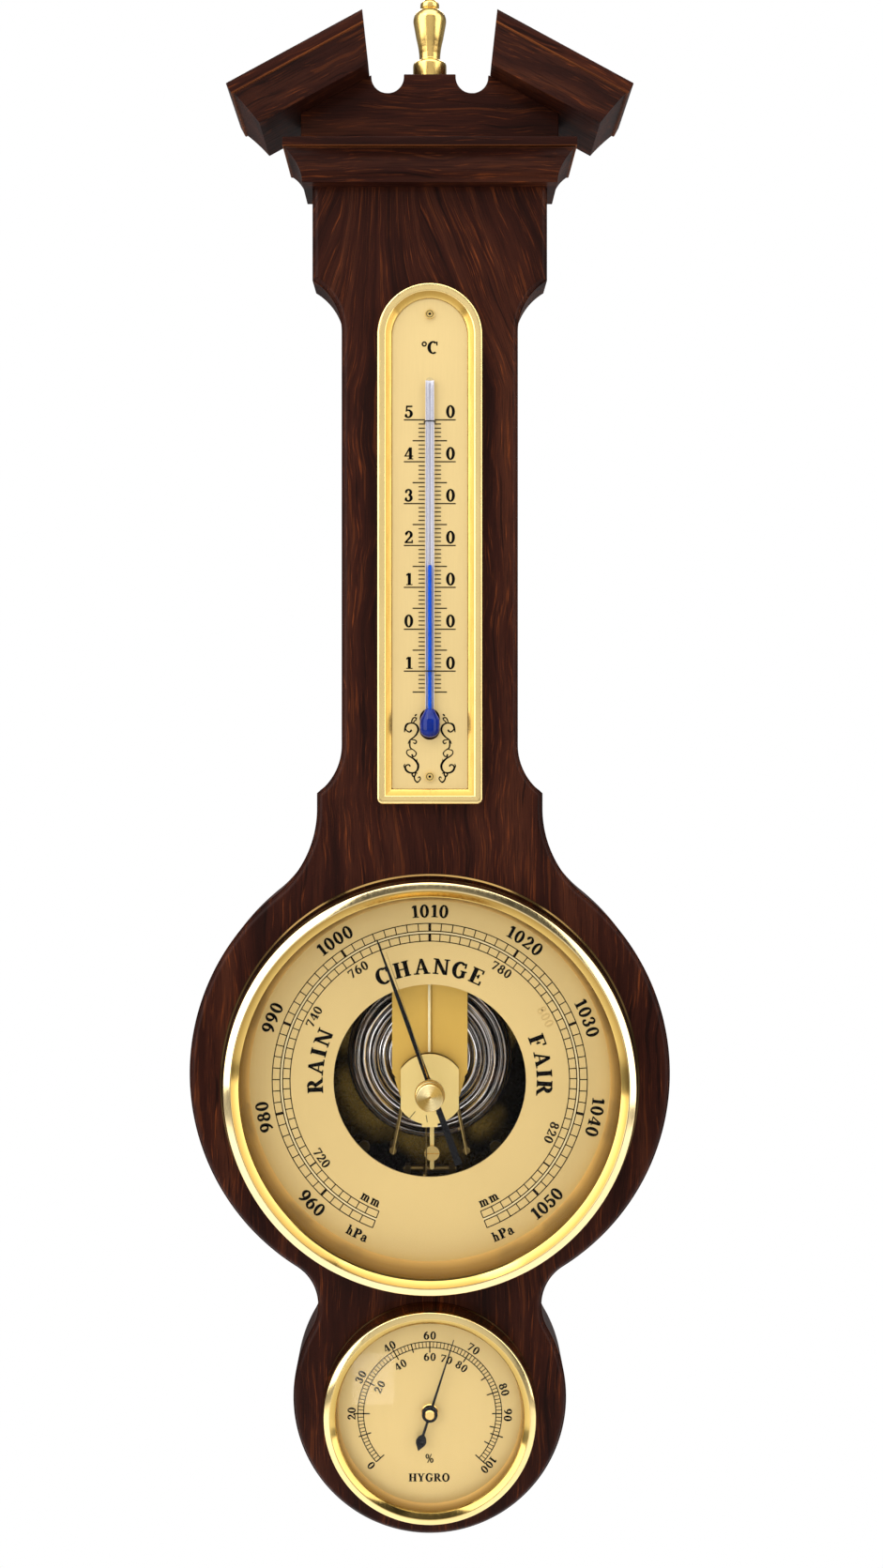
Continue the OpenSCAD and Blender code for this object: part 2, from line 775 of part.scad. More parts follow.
module thermometer_plate() {
    half = plate_half - fit;
    color(pale_brass) difference() {
        slab(board_t, board_t + plate_t)
            arch_outline(half, z_frame_low + frame_band + fit, 0.5);
        for (z = screw_zs) pin(0, z, plate_screw_r + fit, board_t - over, board_t + 2);
        bulb_window(board_t - over, board_t + 2, seat);
        for (z = tie_zs) tie_holes(z);
    }
}

module thermometer_screws() {
    color(brass) for (z = screw_zs) {
        screw_head(0, z, board_t + plate_t, 1.7, 0.9);
        pin(0, z, plate_screw_r, board_t - plate_screw_len + seat, board_t + plate_t);
    }
}

// Tube and bulb about the tube's own axis, with its origin in the bulb's middle
module tube_shape(r, bulb, half, top) {
    rotate_extrude() intersection() {
        union() {
            square([r, top]);
            translate([0, half - bulb]) circle(r = bulb);
            translate([0, bulb - half]) circle(r = bulb);
            translate([0, bulb - half]) square([bulb, 2 * (half - bulb)]);
        }
        translate([0, -half]) square([bulb, half + top]);
    }
}

module at_tube() {
    translate([0, -tube_h, z_glass_bulb]) children();
}

module thermometer_tube() {
    wall = 0.6;
    half = bulb_glass_h / 2;
    color(glassy) at_tube() difference() {
        union() {
            tube_shape(tube_r, bulb_glass_r, half, tube_len - tube_r);
            translate([0, 0, tube_len - tube_r]) sphere(r = tube_r);
        }
        tube_shape(bore_r, bulb_glass_r - wall, half - wall, tube_len - 2 * tube_r);
    }
}

module thermometer_liquid() {
    wall = 0.6 + fit;
    color("#2456b8") at_tube()
        tube_shape(bore_r - fit, bulb_glass_r - wall, bulb_glass_h / 2 - wall, liquid_h);
}

tie_ring = tube_r + tie_r + fit;

module tie_holes(z) {
    for (s = [-1, 1]) pin(s * tie_ring, z, tie_r + fit, board_t - over, board_t + 2);
}

module tube_ties() {
    color(black) for (z = tie_zs) {
        translate([0, -tube_h, z]) rotate([0, 0, 180]) rotate_extrude(angle = 180)
            translate([tie_ring, 0]) circle(r = tie_r, $fn = 24);
        for (s = [-1, 1]) pin(s * tie_ring, z, tie_r, board_t, tube_h);
    }
}

// Barometer housing, dial, glass and bezel

flange_angles = [30, 150, 270];
flange_r = can_r + can_flange;
flange_screw = [1.5, 0.8, 7];

module flange_spot(a) {
    r = can_r + can_flange / 2;
    translate([r * cos(a), 0, z_baro + r * sin(a)]) children();
}

module flange_screw_hole(a) {
    flange_spot(a) flush_hole(0, 0, board_t + flange_t, -1, flange_screw[0], flange_screw[1], flange_screw[2]);
}

module barometer_housing() {
    inner = can_r - can_wall;
    color("#8a6a2a") difference() {
        turned(z_baro) polygon([[0, can_back], [can_r, can_back], [can_r, board_t], [flange_r, board_t],
            [flange_r, board_t + flange_t], [inner, board_t + flange_t], [inner, h_plate], [0, h_plate]]);
        pin(0, z_caps, adjuster_head + seat, can_back - over, h_plate + over);
        for (p = base_spots) pin(p[0], p[1], base_screw_r + fit, can_back - over, h_plate + over);
        for (a = flange_angles) flange_screw_hole(a);
    }
}

module housing_screws() {
    color(brass) for (a = flange_angles)
        flange_spot(a) flush_screw(0, 0, board_t + flange_t, -1, flange_screw[0], flange_screw[1], flange_screw[2]);
}

pillar_r = 2.5;
pillar_ring = can_r - 9;

module dial_pillars() {
    color(brass) for (a = [90, 210, 330])
        pin(pillar_ring * cos(a), z_baro + pillar_ring * sin(a), pillar_r, h_plate, dial_back);
}

dial_r = can_r - can_wall - 2 * seat;
shade_r = dial_r - 0.4;

module barometer_dial() {
    color(pale_brass) turned(z_baro) translate([dial_hole_r, dial_back])
        square([dial_r - dial_hole_r, dial_t]);
}

module dial_reflector() {
    inner = shade_r - 3.4;
    color(brass) turned(z_baro) polygon([[inner, dial_h], [shade_r, dial_h], [shade_r, glass_back],
        [shade_r - 0.7, glass_back], [inner, dial_h + 0.5]]);
}

module barometer_glass() {
    color(glassy) turned(z_baro) translate([spindle_r + 0.3, glass_back])
        square([dial_r - spindle_r - 0.3, glass_t]);
}

// Ring section of a bezel: flared foot, rounded front, inner lip and a rebate for the glass
module bezel_section(r, foot, lip, base, front, glass_f, glass_r, rebate, rebate_h, bevel, fall) {
    polygon([[r + foot, base], [r + foot, base + 0.8], [r + foot * 0.62, base + 1.5],
        [r + foot * 0.25, base + (front - base) * 0.45], [r + 0.25, front - 2], [r, front - 1.1],
        [r - 0.5, front - 0.35], [r - 1.3, front], [r - lip + bevel, front - 0.1],
        [r - lip, front - fall], [r - lip - 0.3, glass_f], [glass_r, glass_f],
        [glass_r, base + rebate_h], [rebate, base + rebate_h], [rebate, base]]);
}

module barometer_bezel() {
    color(brass) turned(z_baro) bezel_section(bezel_r, bezel_foot, bezel_lip, board_t, h_bezel,
        glass_front, dial_r + seat, flange_r + seat, flange_t + seat, 0.9, 0.8);
}

// Movement

base_screw_r = 1;
base_ring = base_r - 4;
base_spots = [for (a = [30, 150, 235, 305]) [base_ring * cos(a), z_caps + base_ring * sin(a)]];
adjuster_head = 2.4;
adjuster_r = 1.5;

module movement_base() {
    color("#6f5a2c") difference() {
        pin(0, z_caps, base_r, h_plate, plate_top);
        pin(0, z_caps, adjuster_r + fit, h_plate - over, plate_top + over);
        for (p = base_spots) pin(p[0], p[1], base_screw_r + fit, h_plate - over, plate_top + over);
    }
}

module base_screws() {
    color(steel) for (p = base_spots) {
        screw_head(p[0], p[1], plate_top, 2.2, 1.2);
        pin(p[0], p[1], base_screw_r, can_back, plate_top);
    }
}

// Height of a pressed diaphragm over the capsule's middle plane
function press(r, r0, r1) = capsule_half + ring_depth * cos(360 * capsule_rings * (r - r0) / (r1 - r0));

module capsule() {
    r0 = boss_r + 0.6;
    r1 = capsule_r - 2.2;
    steps = 10 * capsule_rings;
    crest = [for (i = [0:steps]) let (r = r0 + (r1 - r0) * i / steps) [r, press(r, r0, r1)]];
    half = concat([[0, boss_half], [boss_r, boss_half], [boss_r, capsule_half]], crest,
        [[capsule_r - 1.6, rim_t], [capsule_r, rim_t]]);
    color(steel) difference() {
        turned(z_caps) translate([0, capsule_mid])
            polygon(concat(half, [for (i = [len(half) - 1:-1:0]) [half[i][0], -half[i][1]]]));
        pin(0, z_caps, adjuster_r + fit, capsule_mid - boss_half - over, capsule_mid - boss_half + 1.2);
    }
}

module capsule_post() {
    color(brass) pin(0, z_caps, 1.8, capsule_mid + boss_half, h_spring);
}

module capsule_adjuster() {
    color(brass) difference() {
        union() {
            pin(0, z_caps, adjuster_head, can_back - 0.7, h_plate - seat);
            pin(0, z_caps, adjuster_r, h_plate - over, capsule_mid - boss_half + 1);
        }
        box(-4, 4, can_back - 0.7 - over, can_back, z_caps - 0.4, z_caps + 0.4);
    }
}

bridge_half = bridge_w / 2;
bridge_screw_x = bridge_half - 5;
bridge_screw_z = z_caps + (foot_low + foot_high) / 2;

module bridge_foot() {
    color("#9c7a35") difference() {
        box(-bridge_half, bridge_half, plate_top, h_spring, z_caps + foot_low, z_caps + foot_high);
        for (s = [-1, 1]) pin(s * bridge_screw_x, bridge_screw_z, 1 + fit, h_spring - 6, h_spring + over);
    }
}

module bridge_outline() {
    shoulder = z_spring_end + 9.6;
    tongue = bridge_half - 0.9;
    polygon([[-bridge_half, z_caps + foot_high], [-bridge_half, shoulder], [1.4 - bridge_half, shoulder - 2],
        [-tongue, shoulder - 2], [2 - tongue, z_spring_end + 1], [3 - tongue, z_spring_end],
        [tongue - 3, z_spring_end], [tongue - 2, z_spring_end + 1], [tongue, shoulder - 2],
        [bridge_half - 1.4, shoulder - 2], [bridge_half, shoulder], [bridge_half, z_caps + foot_high]]);
}

module bridge_spring() {
    rib_low = z_baro + 9;
    color(brass) difference() {
        union() {
            slab(h_spring, h_spring + spring_t) bridge_outline();
            box(-0.8, 0.8, h_spring + spring_t, h_spring + spring_t + rib_h, rib_low, z_caps + foot_high);
        }
        for (s = [-1, 1]) pin(s * bridge_screw_x, bridge_screw_z, 1 + fit, h_spring - over, h_spring + 3);
    }
}

module bridge_screws() {
    color(brass) for (s = [-1, 1]) {
        screw_head(s * bridge_screw_x, bridge_screw_z, h_spring + spring_t, 2.2, 1.2);
        pin(s * bridge_screw_x, bridge_screw_z, 1, h_spring - 5.5, h_spring + spring_t);
    }
}

lever_x = 0.8;
lever_half = 0.75;
z_lever_screw = z_baro - 27.4;
lever_screw_r = 1;

module main_lever() {
    z_link = z_shaft + 2.2;
    color(pale_brass) difference() {
        union() {
            box(lever_x - lever_half, lever_x + lever_half, h_spring - sheet_t, h_spring,
                z_link, z_spring_end + 5);
            pin(lever_x, z_lever_screw, 2.2, h_spring - sheet_t, h_spring);
            pin(lever_x, z_link, lever_half, shaft_h + 1.7, h_spring);
        }
        pin(lever_x, z_lever_screw, lever_screw_r + fit, h_spring - 2, h_spring + over);
    }
}

module lever_screw() {
    color(brass) {
        screw_head(lever_x, z_lever_screw, h_spring, 2.7, 1.4, 0.6);
        pin(lever_x, z_lever_screw, lever_screw_r, h_spring - 3, h_spring);
    }
}

module shaft_lugs() {
    color(brass) difference() {
        for (s = [-1, 1]) box(s * lug_x - lug_t / 2, s * lug_x + lug_t / 2, plate_top, shaft_h + 2.2,
            z_shaft - 1.8, z_shaft + 1.8);
        shaft_rod(shaft_r + fit, lug_x + lug_t);
    }
}

module shaft_rod(r, half) {
    translate([-half, -shaft_h, z_shaft]) rotate([0, 90, 0]) cylinder(r = r, h = 2 * half);
}

chain_w = 0.5;
chain_x = -drum_r - seat - chain_w / 2;
arm_x1 = chain_x - chain_w / 2 - seat;
arm_t = 0.8;

module rocking_shaft() {
    tip = shaft_h + arm_len;
    color(steel) {
        shaft_rod(shaft_r, shaft_half);
        shaft_rod(1.4, lug_x - lug_t / 2 - seat);
        translate([arm_x1 - arm_t, 0, 0]) rotate([90, 0, 90]) linear_extrude(arm_t)
            polygon([[-shaft_h, z_shaft - 1.2], [-shaft_h, z_shaft + 1.2], [-tip, z_shaft + 0.5],
                [-tip - 0.4, z_shaft], [-tip, z_shaft - 0.5]]);
        box(lever_x - 0.8, lever_x + 0.8, shaft_h - 0.4, shaft_h + 0.6, z_shaft, z_shaft + 3);
    }
}

cock_post_x = 13.2;
cock_post_r = 1.3;
z_cock_post = z_baro - 26;

module cock_posts() {
    color(brass) for (s = [-1, 1]) pin(s * cock_post_x, z_cock_post, cock_post_r, plate_top, h_frame);
}

cock_half = 10.4;
z_cock = z_baro - 3.4;
cock_r = 12.6;
cock_pillar_spots = [[8, z_baro + 4.5], [7.4, z_baro - 12]];

module clipped_disc(r, half) {
    intersection() {
        translate([0, z_cock]) circle(r = r);
        translate([-half, z_cock - r]) square([2 * half, 2 * r]);
    }
}

module cock_leg() {
    leg_w = 0.9;
    polygon([[cock_half - 1.6, z_cock - 4], [cock_half - 0.2, z_cock - 4],
        [cock_post_x + leg_w / 2, z_cock_post], [cock_post_x - leg_w / 2, z_cock_post]]);
}

module cock_frame() {
    color(brass) difference() {
        slabs(h_frame, h_frame + sheet_t) {
            clipped_disc(cock_r, cock_half);
            cock_leg();
            mirror([1, 0, 0]) cock_leg();
            translate([cock_post_x, z_cock_post]) circle(r = cock_post_r);
            translate([-cock_post_x, z_cock_post]) circle(r = cock_post_r);
        }
        pin(0, z_baro, arbor_r + fit, h_frame - over, h_frame + over);
    }
}

module cock_pillars() {
    color(brass) for (s = [-1, 1], p = cock_pillar_spots)
        pin(s * p[0], p[1], 0.9, h_frame + sheet_t, h_cock);
}

module cock_plate() {
    color(pale_brass) difference() {
        slab(h_cock, h_cock + cock_t) {
            clipped_disc(cock_r, cock_half);
            translate([-2.8, z_cock - cock_r - 0.9]) square([5.6, 2]);
        }
        pin(0, z_baro, arbor_r + fit, h_cock - over, h_cock + cock_t + over);
    }
}

module pointer_arbor() {
    top = hand_h + hand_t + 0.5;
    color(steel) turned(z_baro) polygon([[0, h_frame - 0.3], [arbor_r, h_frame - 0.3],
        [arbor_r, drum_h[0]], [drum_r, drum_h[0]], [drum_r, drum_h[1]], [collet_r, drum_h[1]],
        [collet_r, h_cock - 0.2], [arbor_r, h_cock - 0.2], [arbor_r, top], [0, top]]);
}

// Flat spiral strip from r0 to r1, ending at angle a1
module spiral(r0, r1, turns, t, a1) {
    n = round(24 * turns);
    path = [for (i = [0:n]) [r0 + (r1 - r0) * i / n, a1 - 360 * turns * (1 - i / n)]];
    polygon(concat(
        [for (p = path) [(p[0] - t / 2) * cos(p[1]), (p[0] - t / 2) * sin(p[1])]],
        [for (i = [n:-1:0]) [(path[i][0] + t / 2) * cos(path[i][1]), (path[i][0] + t / 2) * sin(path[i][1])]]));
}

hair_r = 5.6;
hair_t = 0.2;

module hairspring() {
    color(steel) slab(drum_h[1] + 0.2, h_cock - 0.4) translate([0, z_baro])
        spiral(collet_r + 0.35, hair_r, 4, hair_t, 180);
}

module hairspring_stud() {
    x = -hair_r - hair_t / 2;
    color(brass) box(x - 1.2, x, drum_h[1] + 0.2, h_cock, z_baro - 0.6, z_baro + 0.6);
}

module drive_chain() {
    pitch = 1.2;
    links = floor((z_baro - z_shaft) / pitch);
    mid = (drum_h[0] + drum_h[1]) / 2;
    color("#6b6b6e") for (i = [0:links]) {
        z = z_shaft + i * pitch;
        lift = i % 2 == 0 ? -0.2 : 0;
        box(chain_x - chain_w / 2, chain_x + chain_w / 2, mid + lift, mid + lift + 0.2,
            z - pitch * 0.65, z + pitch * 0.65);
    }
}

// Hands and knob

// Hand made of flat pieces, turned clockwise by a about its pivot as seen from the front
module hand_at(z, h, t, a) {
    for (i = [0:$children - 1]) translate([0, -h, z]) rotate([90, 0, 0]) rotate([0, 0, -a])
        linear_extrude(t) children(i);
}

module pressure_hand() {
    hub = 1.9;
    neck = 0.95;
    color(black) difference() {
        hand_at(z_baro, hand_h, hand_t, -hand_rest) {
            circle(r = hub);
            polygon([[-neck, 0], [-0.65, hand_len * 0.62], [-0.22, hand_len], [0.22, hand_len],
                [0.65, hand_len * 0.62], [neck, 0]]);
            polygon([[-neck, 0], [neck, 0], [1.3, -hand_tail], [-1.3, -hand_tail]]);
        }
        pin(0, z_baro, arbor_r + fit, hand_h - over, hand_h + 2);
    }
}

module set_knob() {
    front = h_bezel + knob_h;
    low = glass_front + 0.4;
    boss = 3.4;
    color(brass) turned(z_baro) polygon([[0, set_h], [spindle_r, set_h], [spindle_r, low], [boss, low],
        [boss, front - 6.5], [knob_r + 0.5, front - 6.1], [knob_r + 0.5, front - 4.2],
        [knob_r - 0.5, front - 3.9], [knob_r - 0.5, front - 3.2], [knob_r, front - 2.9],
        [knob_r, front - 0.4], [knob_r - 0.4, front], [0.5, front - 0.9], [0, front - 1.3]]);
}

module set_hand() {
    hub = 2.3;
    color(brass) difference() {
        hand_at(z_baro, set_h, hand_t, -set_rest) {
            circle(r = hub);
            polygon([[-0.5, 0], [-0.2, set_len], [0.2, set_len], [0.5, 0]]);
        }
        pin(0, z_baro, spindle_r + fit, set_h - over, set_h + 2);
    }
}

// Hygrometer

hygro_inner = hygro_can_r - hygro_wall;
hygro_rim = hygro_dial_h - 0.7;
coil_r = 9;
coil_t = 0.35;
coil_h = [hygro_back + 10, hygro_back + 15];
hygro_flange = 2.4;

module hygrometer_housing() {
    flange = hygro_can_r + hygro_flange;
    color("#8a6a2a") turned(z_hygro) polygon([[0, hygro_back], [hygro_can_r, hygro_back],
        [hygro_can_r, board_t], [flange, board_t], [flange, board_t + 0.8], [hygro_can_r, board_t + 0.8],
        [hygro_can_r, hygro_rim], [hygro_inner, hygro_rim], [hygro_inner, hygro_back + hygro_wall],
        [0, hygro_back + hygro_wall]]);
}

module arbor_step() {
    h0 = hygro_back + hygro_wall;
    color(brass) difference() {
        pin(0, z_hygro, 2.5, h0, h0 + 6);
        pin(0, z_hygro, hygro_arbor_r + fit, h0 + 2, h0 + 7);
    }
}

module coil_post() {
    color(brass) pin(-coil_r - coil_t / 2 - 1.2, z_hygro, 1.2, hygro_back + hygro_wall, coil_h[1] + 0.5);
}

module humidity_coil() {
    color("#b98a4a") slab(coil_h[0], coil_h[1]) translate([0, z_hygro])
        spiral(1.8, coil_r, 4, coil_t, 180);
}

module humidity_arbor() {
    h0 = hygro_back + hygro_wall + 2.1;
    color(steel) turned(z_hygro) polygon([[0, h0], [hygro_arbor_r, h0], [hygro_arbor_r, coil_h[0]],
        [1.2, coil_h[0]], [1.2, coil_h[1]], [hygro_arbor_r, coil_h[1]],
        [hygro_arbor_r, hygro_hand_h + hygro_hand_t], [hub_cap[0], hygro_hand_h + hygro_hand_t],
        [hub_cap[0], hygro_hand_h + hygro_hand_t + hub_cap[1] - 0.2],
        [hub_cap[0] - 0.2, hygro_hand_h + hygro_hand_t + hub_cap[1]],
        [0, hygro_hand_h + hygro_hand_t + hub_cap[1]]]);
}

module hygrometer_dial() {
    color(pale_brass) turned(z_hygro) translate([hygro_arbor_r + 0.3, hygro_rim])
        square([hygro_can_r - hygro_arbor_r - 0.3, 0.7]);
}

module hand_bush() {
    bore = hygro_arbor_r + fit;
    color(brass) turned(z_hygro) polygon([[bore, hygro_dial_h], [2.95, hygro_dial_h],
        [2.95, hygro_dial_h + bush_step - 0.2], [2.75, hygro_dial_h + bush_step],
        [1.5, hygro_dial_h + bush_step], [1.5, hygro_hand_h - seat], [bore, hygro_hand_h - seat]]);
}

module hygrometer_reflector() {
    inner = hygro_can_r - 1.9;
    color(brass) turned(z_hygro) polygon([[inner, hygro_dial_h], [hygro_can_r, hygro_dial_h],
        [hygro_can_r, hygro_glass_back], [hygro_can_r - 0.6, hygro_glass_back], [inner, hygro_dial_h + 0.3]]);
}

module hygrometer_glass() {
    color(glassy) pin(0, z_hygro, hygro_can_r, hygro_glass_back, hygro_glass_back + hygro_glass_t);
}

module hygrometer_bezel() {
    color(brass) turned(z_hygro) bezel_section(hygro_bezel_r, hygro_foot, hygro_lip, board_t, h_hygro,
        hygro_glass_back + hygro_glass_t, hygro_can_r + seat, hygro_can_r + hygro_flange + seat,
        0.8 + seat, 1.8, 1.3);
}

hygro_hand_t = 0.3;

module humidity_hand() {
    leaf_z = -9.8;
    leaf = 1.9;
    color(black) difference() {
        hand_at(z_hygro, hygro_hand_h, hygro_hand_t, hygro_rest) {
            circle(r = 2.8);
            polygon([[-0.5, 0], [-0.15, hygro_hand_len], [0.15, hygro_hand_len], [0.5, 0]]);
            polygon([[-0.45, 0], [0.45, 0], [0.45, leaf_z + 2.3], [leaf * 0.72, leaf_z + 1.4], [leaf, leaf_z],
                [leaf * 0.86, leaf_z - 1.2], [leaf * 0.42, leaf_z - 2.4], [0, leaf_z - 3.6],
                [-leaf * 0.42, leaf_z - 2.4], [-leaf * 0.86, leaf_z - 1.2], [-leaf, leaf_z],
                [-leaf * 0.72, leaf_z + 1.4], [-0.45, leaf_z + 2.3]]);
        }
        pin(0, z_hygro, hygro_arbor_r + fit, hygro_hand_h - over, hygro_hand_h + over);
    }
}

case_body();
case_dowels();
cornice();
cornice_dowels();
tympanum();
rake_dowels();
raking_cornice_left();
raking_cornice_right();
finial();
finial_stud();
hanger_plate();
hanger_screws();
thermometer_frame();
thermometer_plate();
thermometer_screws();
thermometer_tube();
thermometer_liquid();
tube_ties();
barometer_housing();
housing_screws();
movement_base();
base_screws();
dial_pillars();
capsule();
capsule_post();
capsule_adjuster();
bridge_foot();
bridge_spring();
bridge_screws();
main_lever();
lever_screw();
shaft_lugs();
rocking_shaft();
cock_posts();
cock_frame();
cock_pillars();
cock_plate();
pointer_arbor();
hairspring();
hairspring_stud();
drive_chain();
barometer_dial();
dial_reflector();
barometer_glass();
barometer_bezel();
pressure_hand();
set_knob();
set_hand();
hygrometer_housing();
coil_post();
humidity_coil();
humidity_arbor();
arbor_step();
hygrometer_dial();
hand_bush();
hygrometer_reflector();
hygrometer_glass();
hygrometer_bezel();
humidity_hand();
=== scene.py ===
"""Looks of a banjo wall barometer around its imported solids.

Every size of a piece is in millimetres. A place is (x, h, z): x to the right, h out of the wall, z up from
the hanger. The floor, the lights and the camera are placed in Blender's metres.
"""

import math

import bmesh
import bpy
import numpy as np
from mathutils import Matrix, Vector
from mathutils.geometry import tessellate_polygon


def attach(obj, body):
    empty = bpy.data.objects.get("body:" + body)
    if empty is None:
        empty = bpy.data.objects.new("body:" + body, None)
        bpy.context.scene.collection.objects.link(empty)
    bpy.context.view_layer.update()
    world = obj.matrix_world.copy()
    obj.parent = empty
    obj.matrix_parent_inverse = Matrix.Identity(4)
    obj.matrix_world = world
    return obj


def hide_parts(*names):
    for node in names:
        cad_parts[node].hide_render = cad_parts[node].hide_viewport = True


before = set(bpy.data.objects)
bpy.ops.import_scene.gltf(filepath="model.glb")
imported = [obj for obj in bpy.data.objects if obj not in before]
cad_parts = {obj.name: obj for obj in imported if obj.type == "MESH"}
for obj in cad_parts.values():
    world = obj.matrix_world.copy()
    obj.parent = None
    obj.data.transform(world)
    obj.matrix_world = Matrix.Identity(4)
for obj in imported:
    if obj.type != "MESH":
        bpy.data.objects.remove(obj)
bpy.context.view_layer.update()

MM = 0.001

# Sizes of the case, as in the part's source
BOARD = 24.0
FRIEZE_HALF, FRIEZE_TOP, FRIEZE_LOW = 41.8, 13.6, -19.2
NECK_HALF = 31.4
COVE_R = 21.2
LIP_HALF, LIP_TOP, LIP_LOW = 40.2, -201.9, -207.3
DISC_R, DISC_SPREAD, DISC_Z = 81.3, 4.3, -301.7
WAIST_HALF, WAIST_R = 39.8, 16.2
BULB_R = 48.6
EDGE_R, EDGE_QUIRK = 2.0, 0.5
BARO_Z = DISC_Z - 3.1
CAN_R = 69.5


def hollow_drop(spread, r):
    """Height from the waist's centre line to the centre of a circle that its hollow touches."""
    w = WAIST_HALF - spread
    return math.sqrt((r - w) * (r + w + 2 * WAIST_R))


WAIST_Z = DISC_Z - hollow_drop(DISC_SPREAD, DISC_R)
BULB_Z = WAIST_Z - hollow_drop(0, BULB_R)
HYGRO_Z = BULB_Z - 3.4

# Slope of the pediment in degrees, and its platform under the finial
RAKE_SLOPE, PLATFORM = 28.5, 52.4

# Faces of both dials, fronts of both bezels, the capsule behind the upper dial, and the back of the set hand
DIAL_H, HYGRO_DIAL_H = 20.0, 27.1
BEZEL_FRONT, HYGRO_FRONT = BOARD + 11.2, BOARD + 10.3
CAPS_R, CAPS_Z = 29.8, BARO_Z + 7
SET_HAND_H = 29.7


# Meshes


def to_world(points):
    """Places (x, h, z) in millimetres as Blender's (x, y, z) in metres."""
    p = np.asarray(points, float).reshape(-1, 3)
    return np.column_stack((p[:, 0], -p[:, 1], p[:, 2])) * MM


def grid_faces(rows, cols, close_rows=False, close_cols=False, start=0):
    """Quads between neighbours of a rows by cols grid of points, going round where an axis is closed."""
    r = np.arange(rows if close_rows else rows - 1)
    c = np.arange(cols if close_cols else cols - 1)
    rr, cc = np.meshgrid(r, c, indexing="ij")
    r1, c1 = (rr + 1) % rows, (cc + 1) % cols
    quads = np.stack((rr * cols + cc, rr * cols + c1, r1 * cols + c1, r1 * cols + cc), -1)
    return quads.reshape(-1, 4) + start


def build(name, points, faces, material, body="case", slot=None, sharp=35, thicken=0, bevel=0, weld=0.002):
    """One piece: points in millimetres welded into a mesh whose normals point out, with edges over sharp
    degrees kept crisp, a wall of thicken millimetres and arrises rounded by bevel millimetres if asked."""
    mesh = bpy.data.meshes.new(name)
    mesh.from_pydata(to_world(points), [], [tuple(int(i) for i in f) for f in faces])
    bm = bmesh.new()
    bm.from_mesh(mesh)
    bmesh.ops.remove_doubles(bm, verts=bm.verts, dist=weld * MM)
    bmesh.ops.dissolve_degenerate(bm, edges=bm.edges, dist=weld * MM / 2)
    bmesh.ops.recalc_face_normals(bm, faces=bm.faces)
    if thicken:
        bmesh.ops.solidify(bm, geom=bm.faces, thickness=thicken * MM)
        bmesh.ops.recalc_face_normals(bm, faces=bm.faces)
    limit = math.radians(sharp)
    for face in bm.faces:
        face.smooth = True
    for edge in bm.edges:
        edge.smooth = len(edge.link_faces) == 2 and edge.calc_face_angle(0) < limit
    bm.to_mesh(mesh)
    bm.free()
    piece = bpy.data.objects.new(name, mesh)
    bpy.context.collection.objects.link(piece)
    piece.data.materials.append(material)
    if bevel:
        rounding = piece.modifiers.new("arris", "BEVEL")
        rounding.width, rounding.segments = bevel * MM, 2
        rounding.limit_method, rounding.angle_limit = "ANGLE", limit
        rounding.harden_normals = True
    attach(piece, body)
    return piece


def fillet(corners, closed=True, steps=6):
    """A polygon whose corners (x, y, radius) are each replaced by an arc that touches both neighbours."""
    pts = [np.array(c[:2], float) for c in corners]
    out = []
    n = len(pts)
    for i, p in enumerate(pts):
        r = corners[i][2] if len(corners[i]) > 2 else 0
        if r <= 0 or (not closed and i in (0, n - 1)):
            out.append(p)
            continue
        a, b = pts[i - 1] - p, pts[(i + 1) % n] - p
        la, lb = np.linalg.norm(a), np.linalg.norm(b)
        a, b = a / la, b / lb
        half = math.acos(np.clip(a @ b, -1, 1)) / 2
        reach = min(r / math.tan(half), 0.49 * la, 0.49 * lb)
        r = reach * math.tan(half)
        centre = p + (a + b) / np.linalg.norm(a + b) * (r / math.sin(half))
        t0, t1 = p + a * reach - centre, p + b * reach - centre
        a0 = math.atan2(t0[1], t0[0])
        turn = (math.atan2(t1[1], t1[0]) - a0 + math.pi) % (2 * math.pi) - math.pi
        for t in np.linspace(a0, a0 + turn, steps):
            out.append(centre + r * np.array((math.cos(t), math.sin(t))))
    return np.array(out)


def turned(name, profile, material, z, closed=True, steps=192, **options):
    """A profile of (radius, h) points carried round an axis square to the wall at (0, z)."""
    profile = np.asarray(profile, float)
    a = np.linspace(0, 2 * math.pi, steps, endpoint=False)
    r, h = profile[:, 0][:, None], profile[:, 1][:, None]
    pts = np.stack((r * np.sin(a), h + 0 * a, z + r * np.cos(a)), -1)
    return build(name, pts, grid_faces(len(profile), steps, closed, True), material, **options)


def upright(name, profile, material, h, z, steps=96, **options):
    """An open profile of (radius, height) points carried round an upright axis at (0, h) from z up."""
    profile = np.asarray(profile, float)
    a = np.linspace(0, 2 * math.pi, steps, endpoint=False)
    r, up = profile[:, 0][:, None], profile[:, 1][:, None]
    pts = np.stack((r * np.sin(a), h + r * np.cos(a), z + up + 0 * a), -1)
    return build(name, pts, grid_faces(len(profile), steps, False, True), material, **options)


def filled(loops, h):
    """Points and triangles of a flat face at height h, bounded by its first loop and open inside the
    others."""
    flat = [[(float(x), float(z), 0.0) for x, z in loop] for loop in loops]
    pts = np.array([p for loop in flat for p in loop])
    tris = tessellate_polygon(flat)
    return np.column_stack((pts[:, 0], np.full(len(pts), h), pts[:, 1])), tris


def wall(loop, h0, h1):
    """Points and quads of a straight wall under a closed loop, from h0 to h1."""
    loop = np.asarray(loop, float)
    n = len(loop)
    rows = [np.column_stack((loop[:, 0], np.full(n, h), loop[:, 1])) for h in (h0, h1)]
    return np.vstack(rows), grid_faces(2, n, False, True)


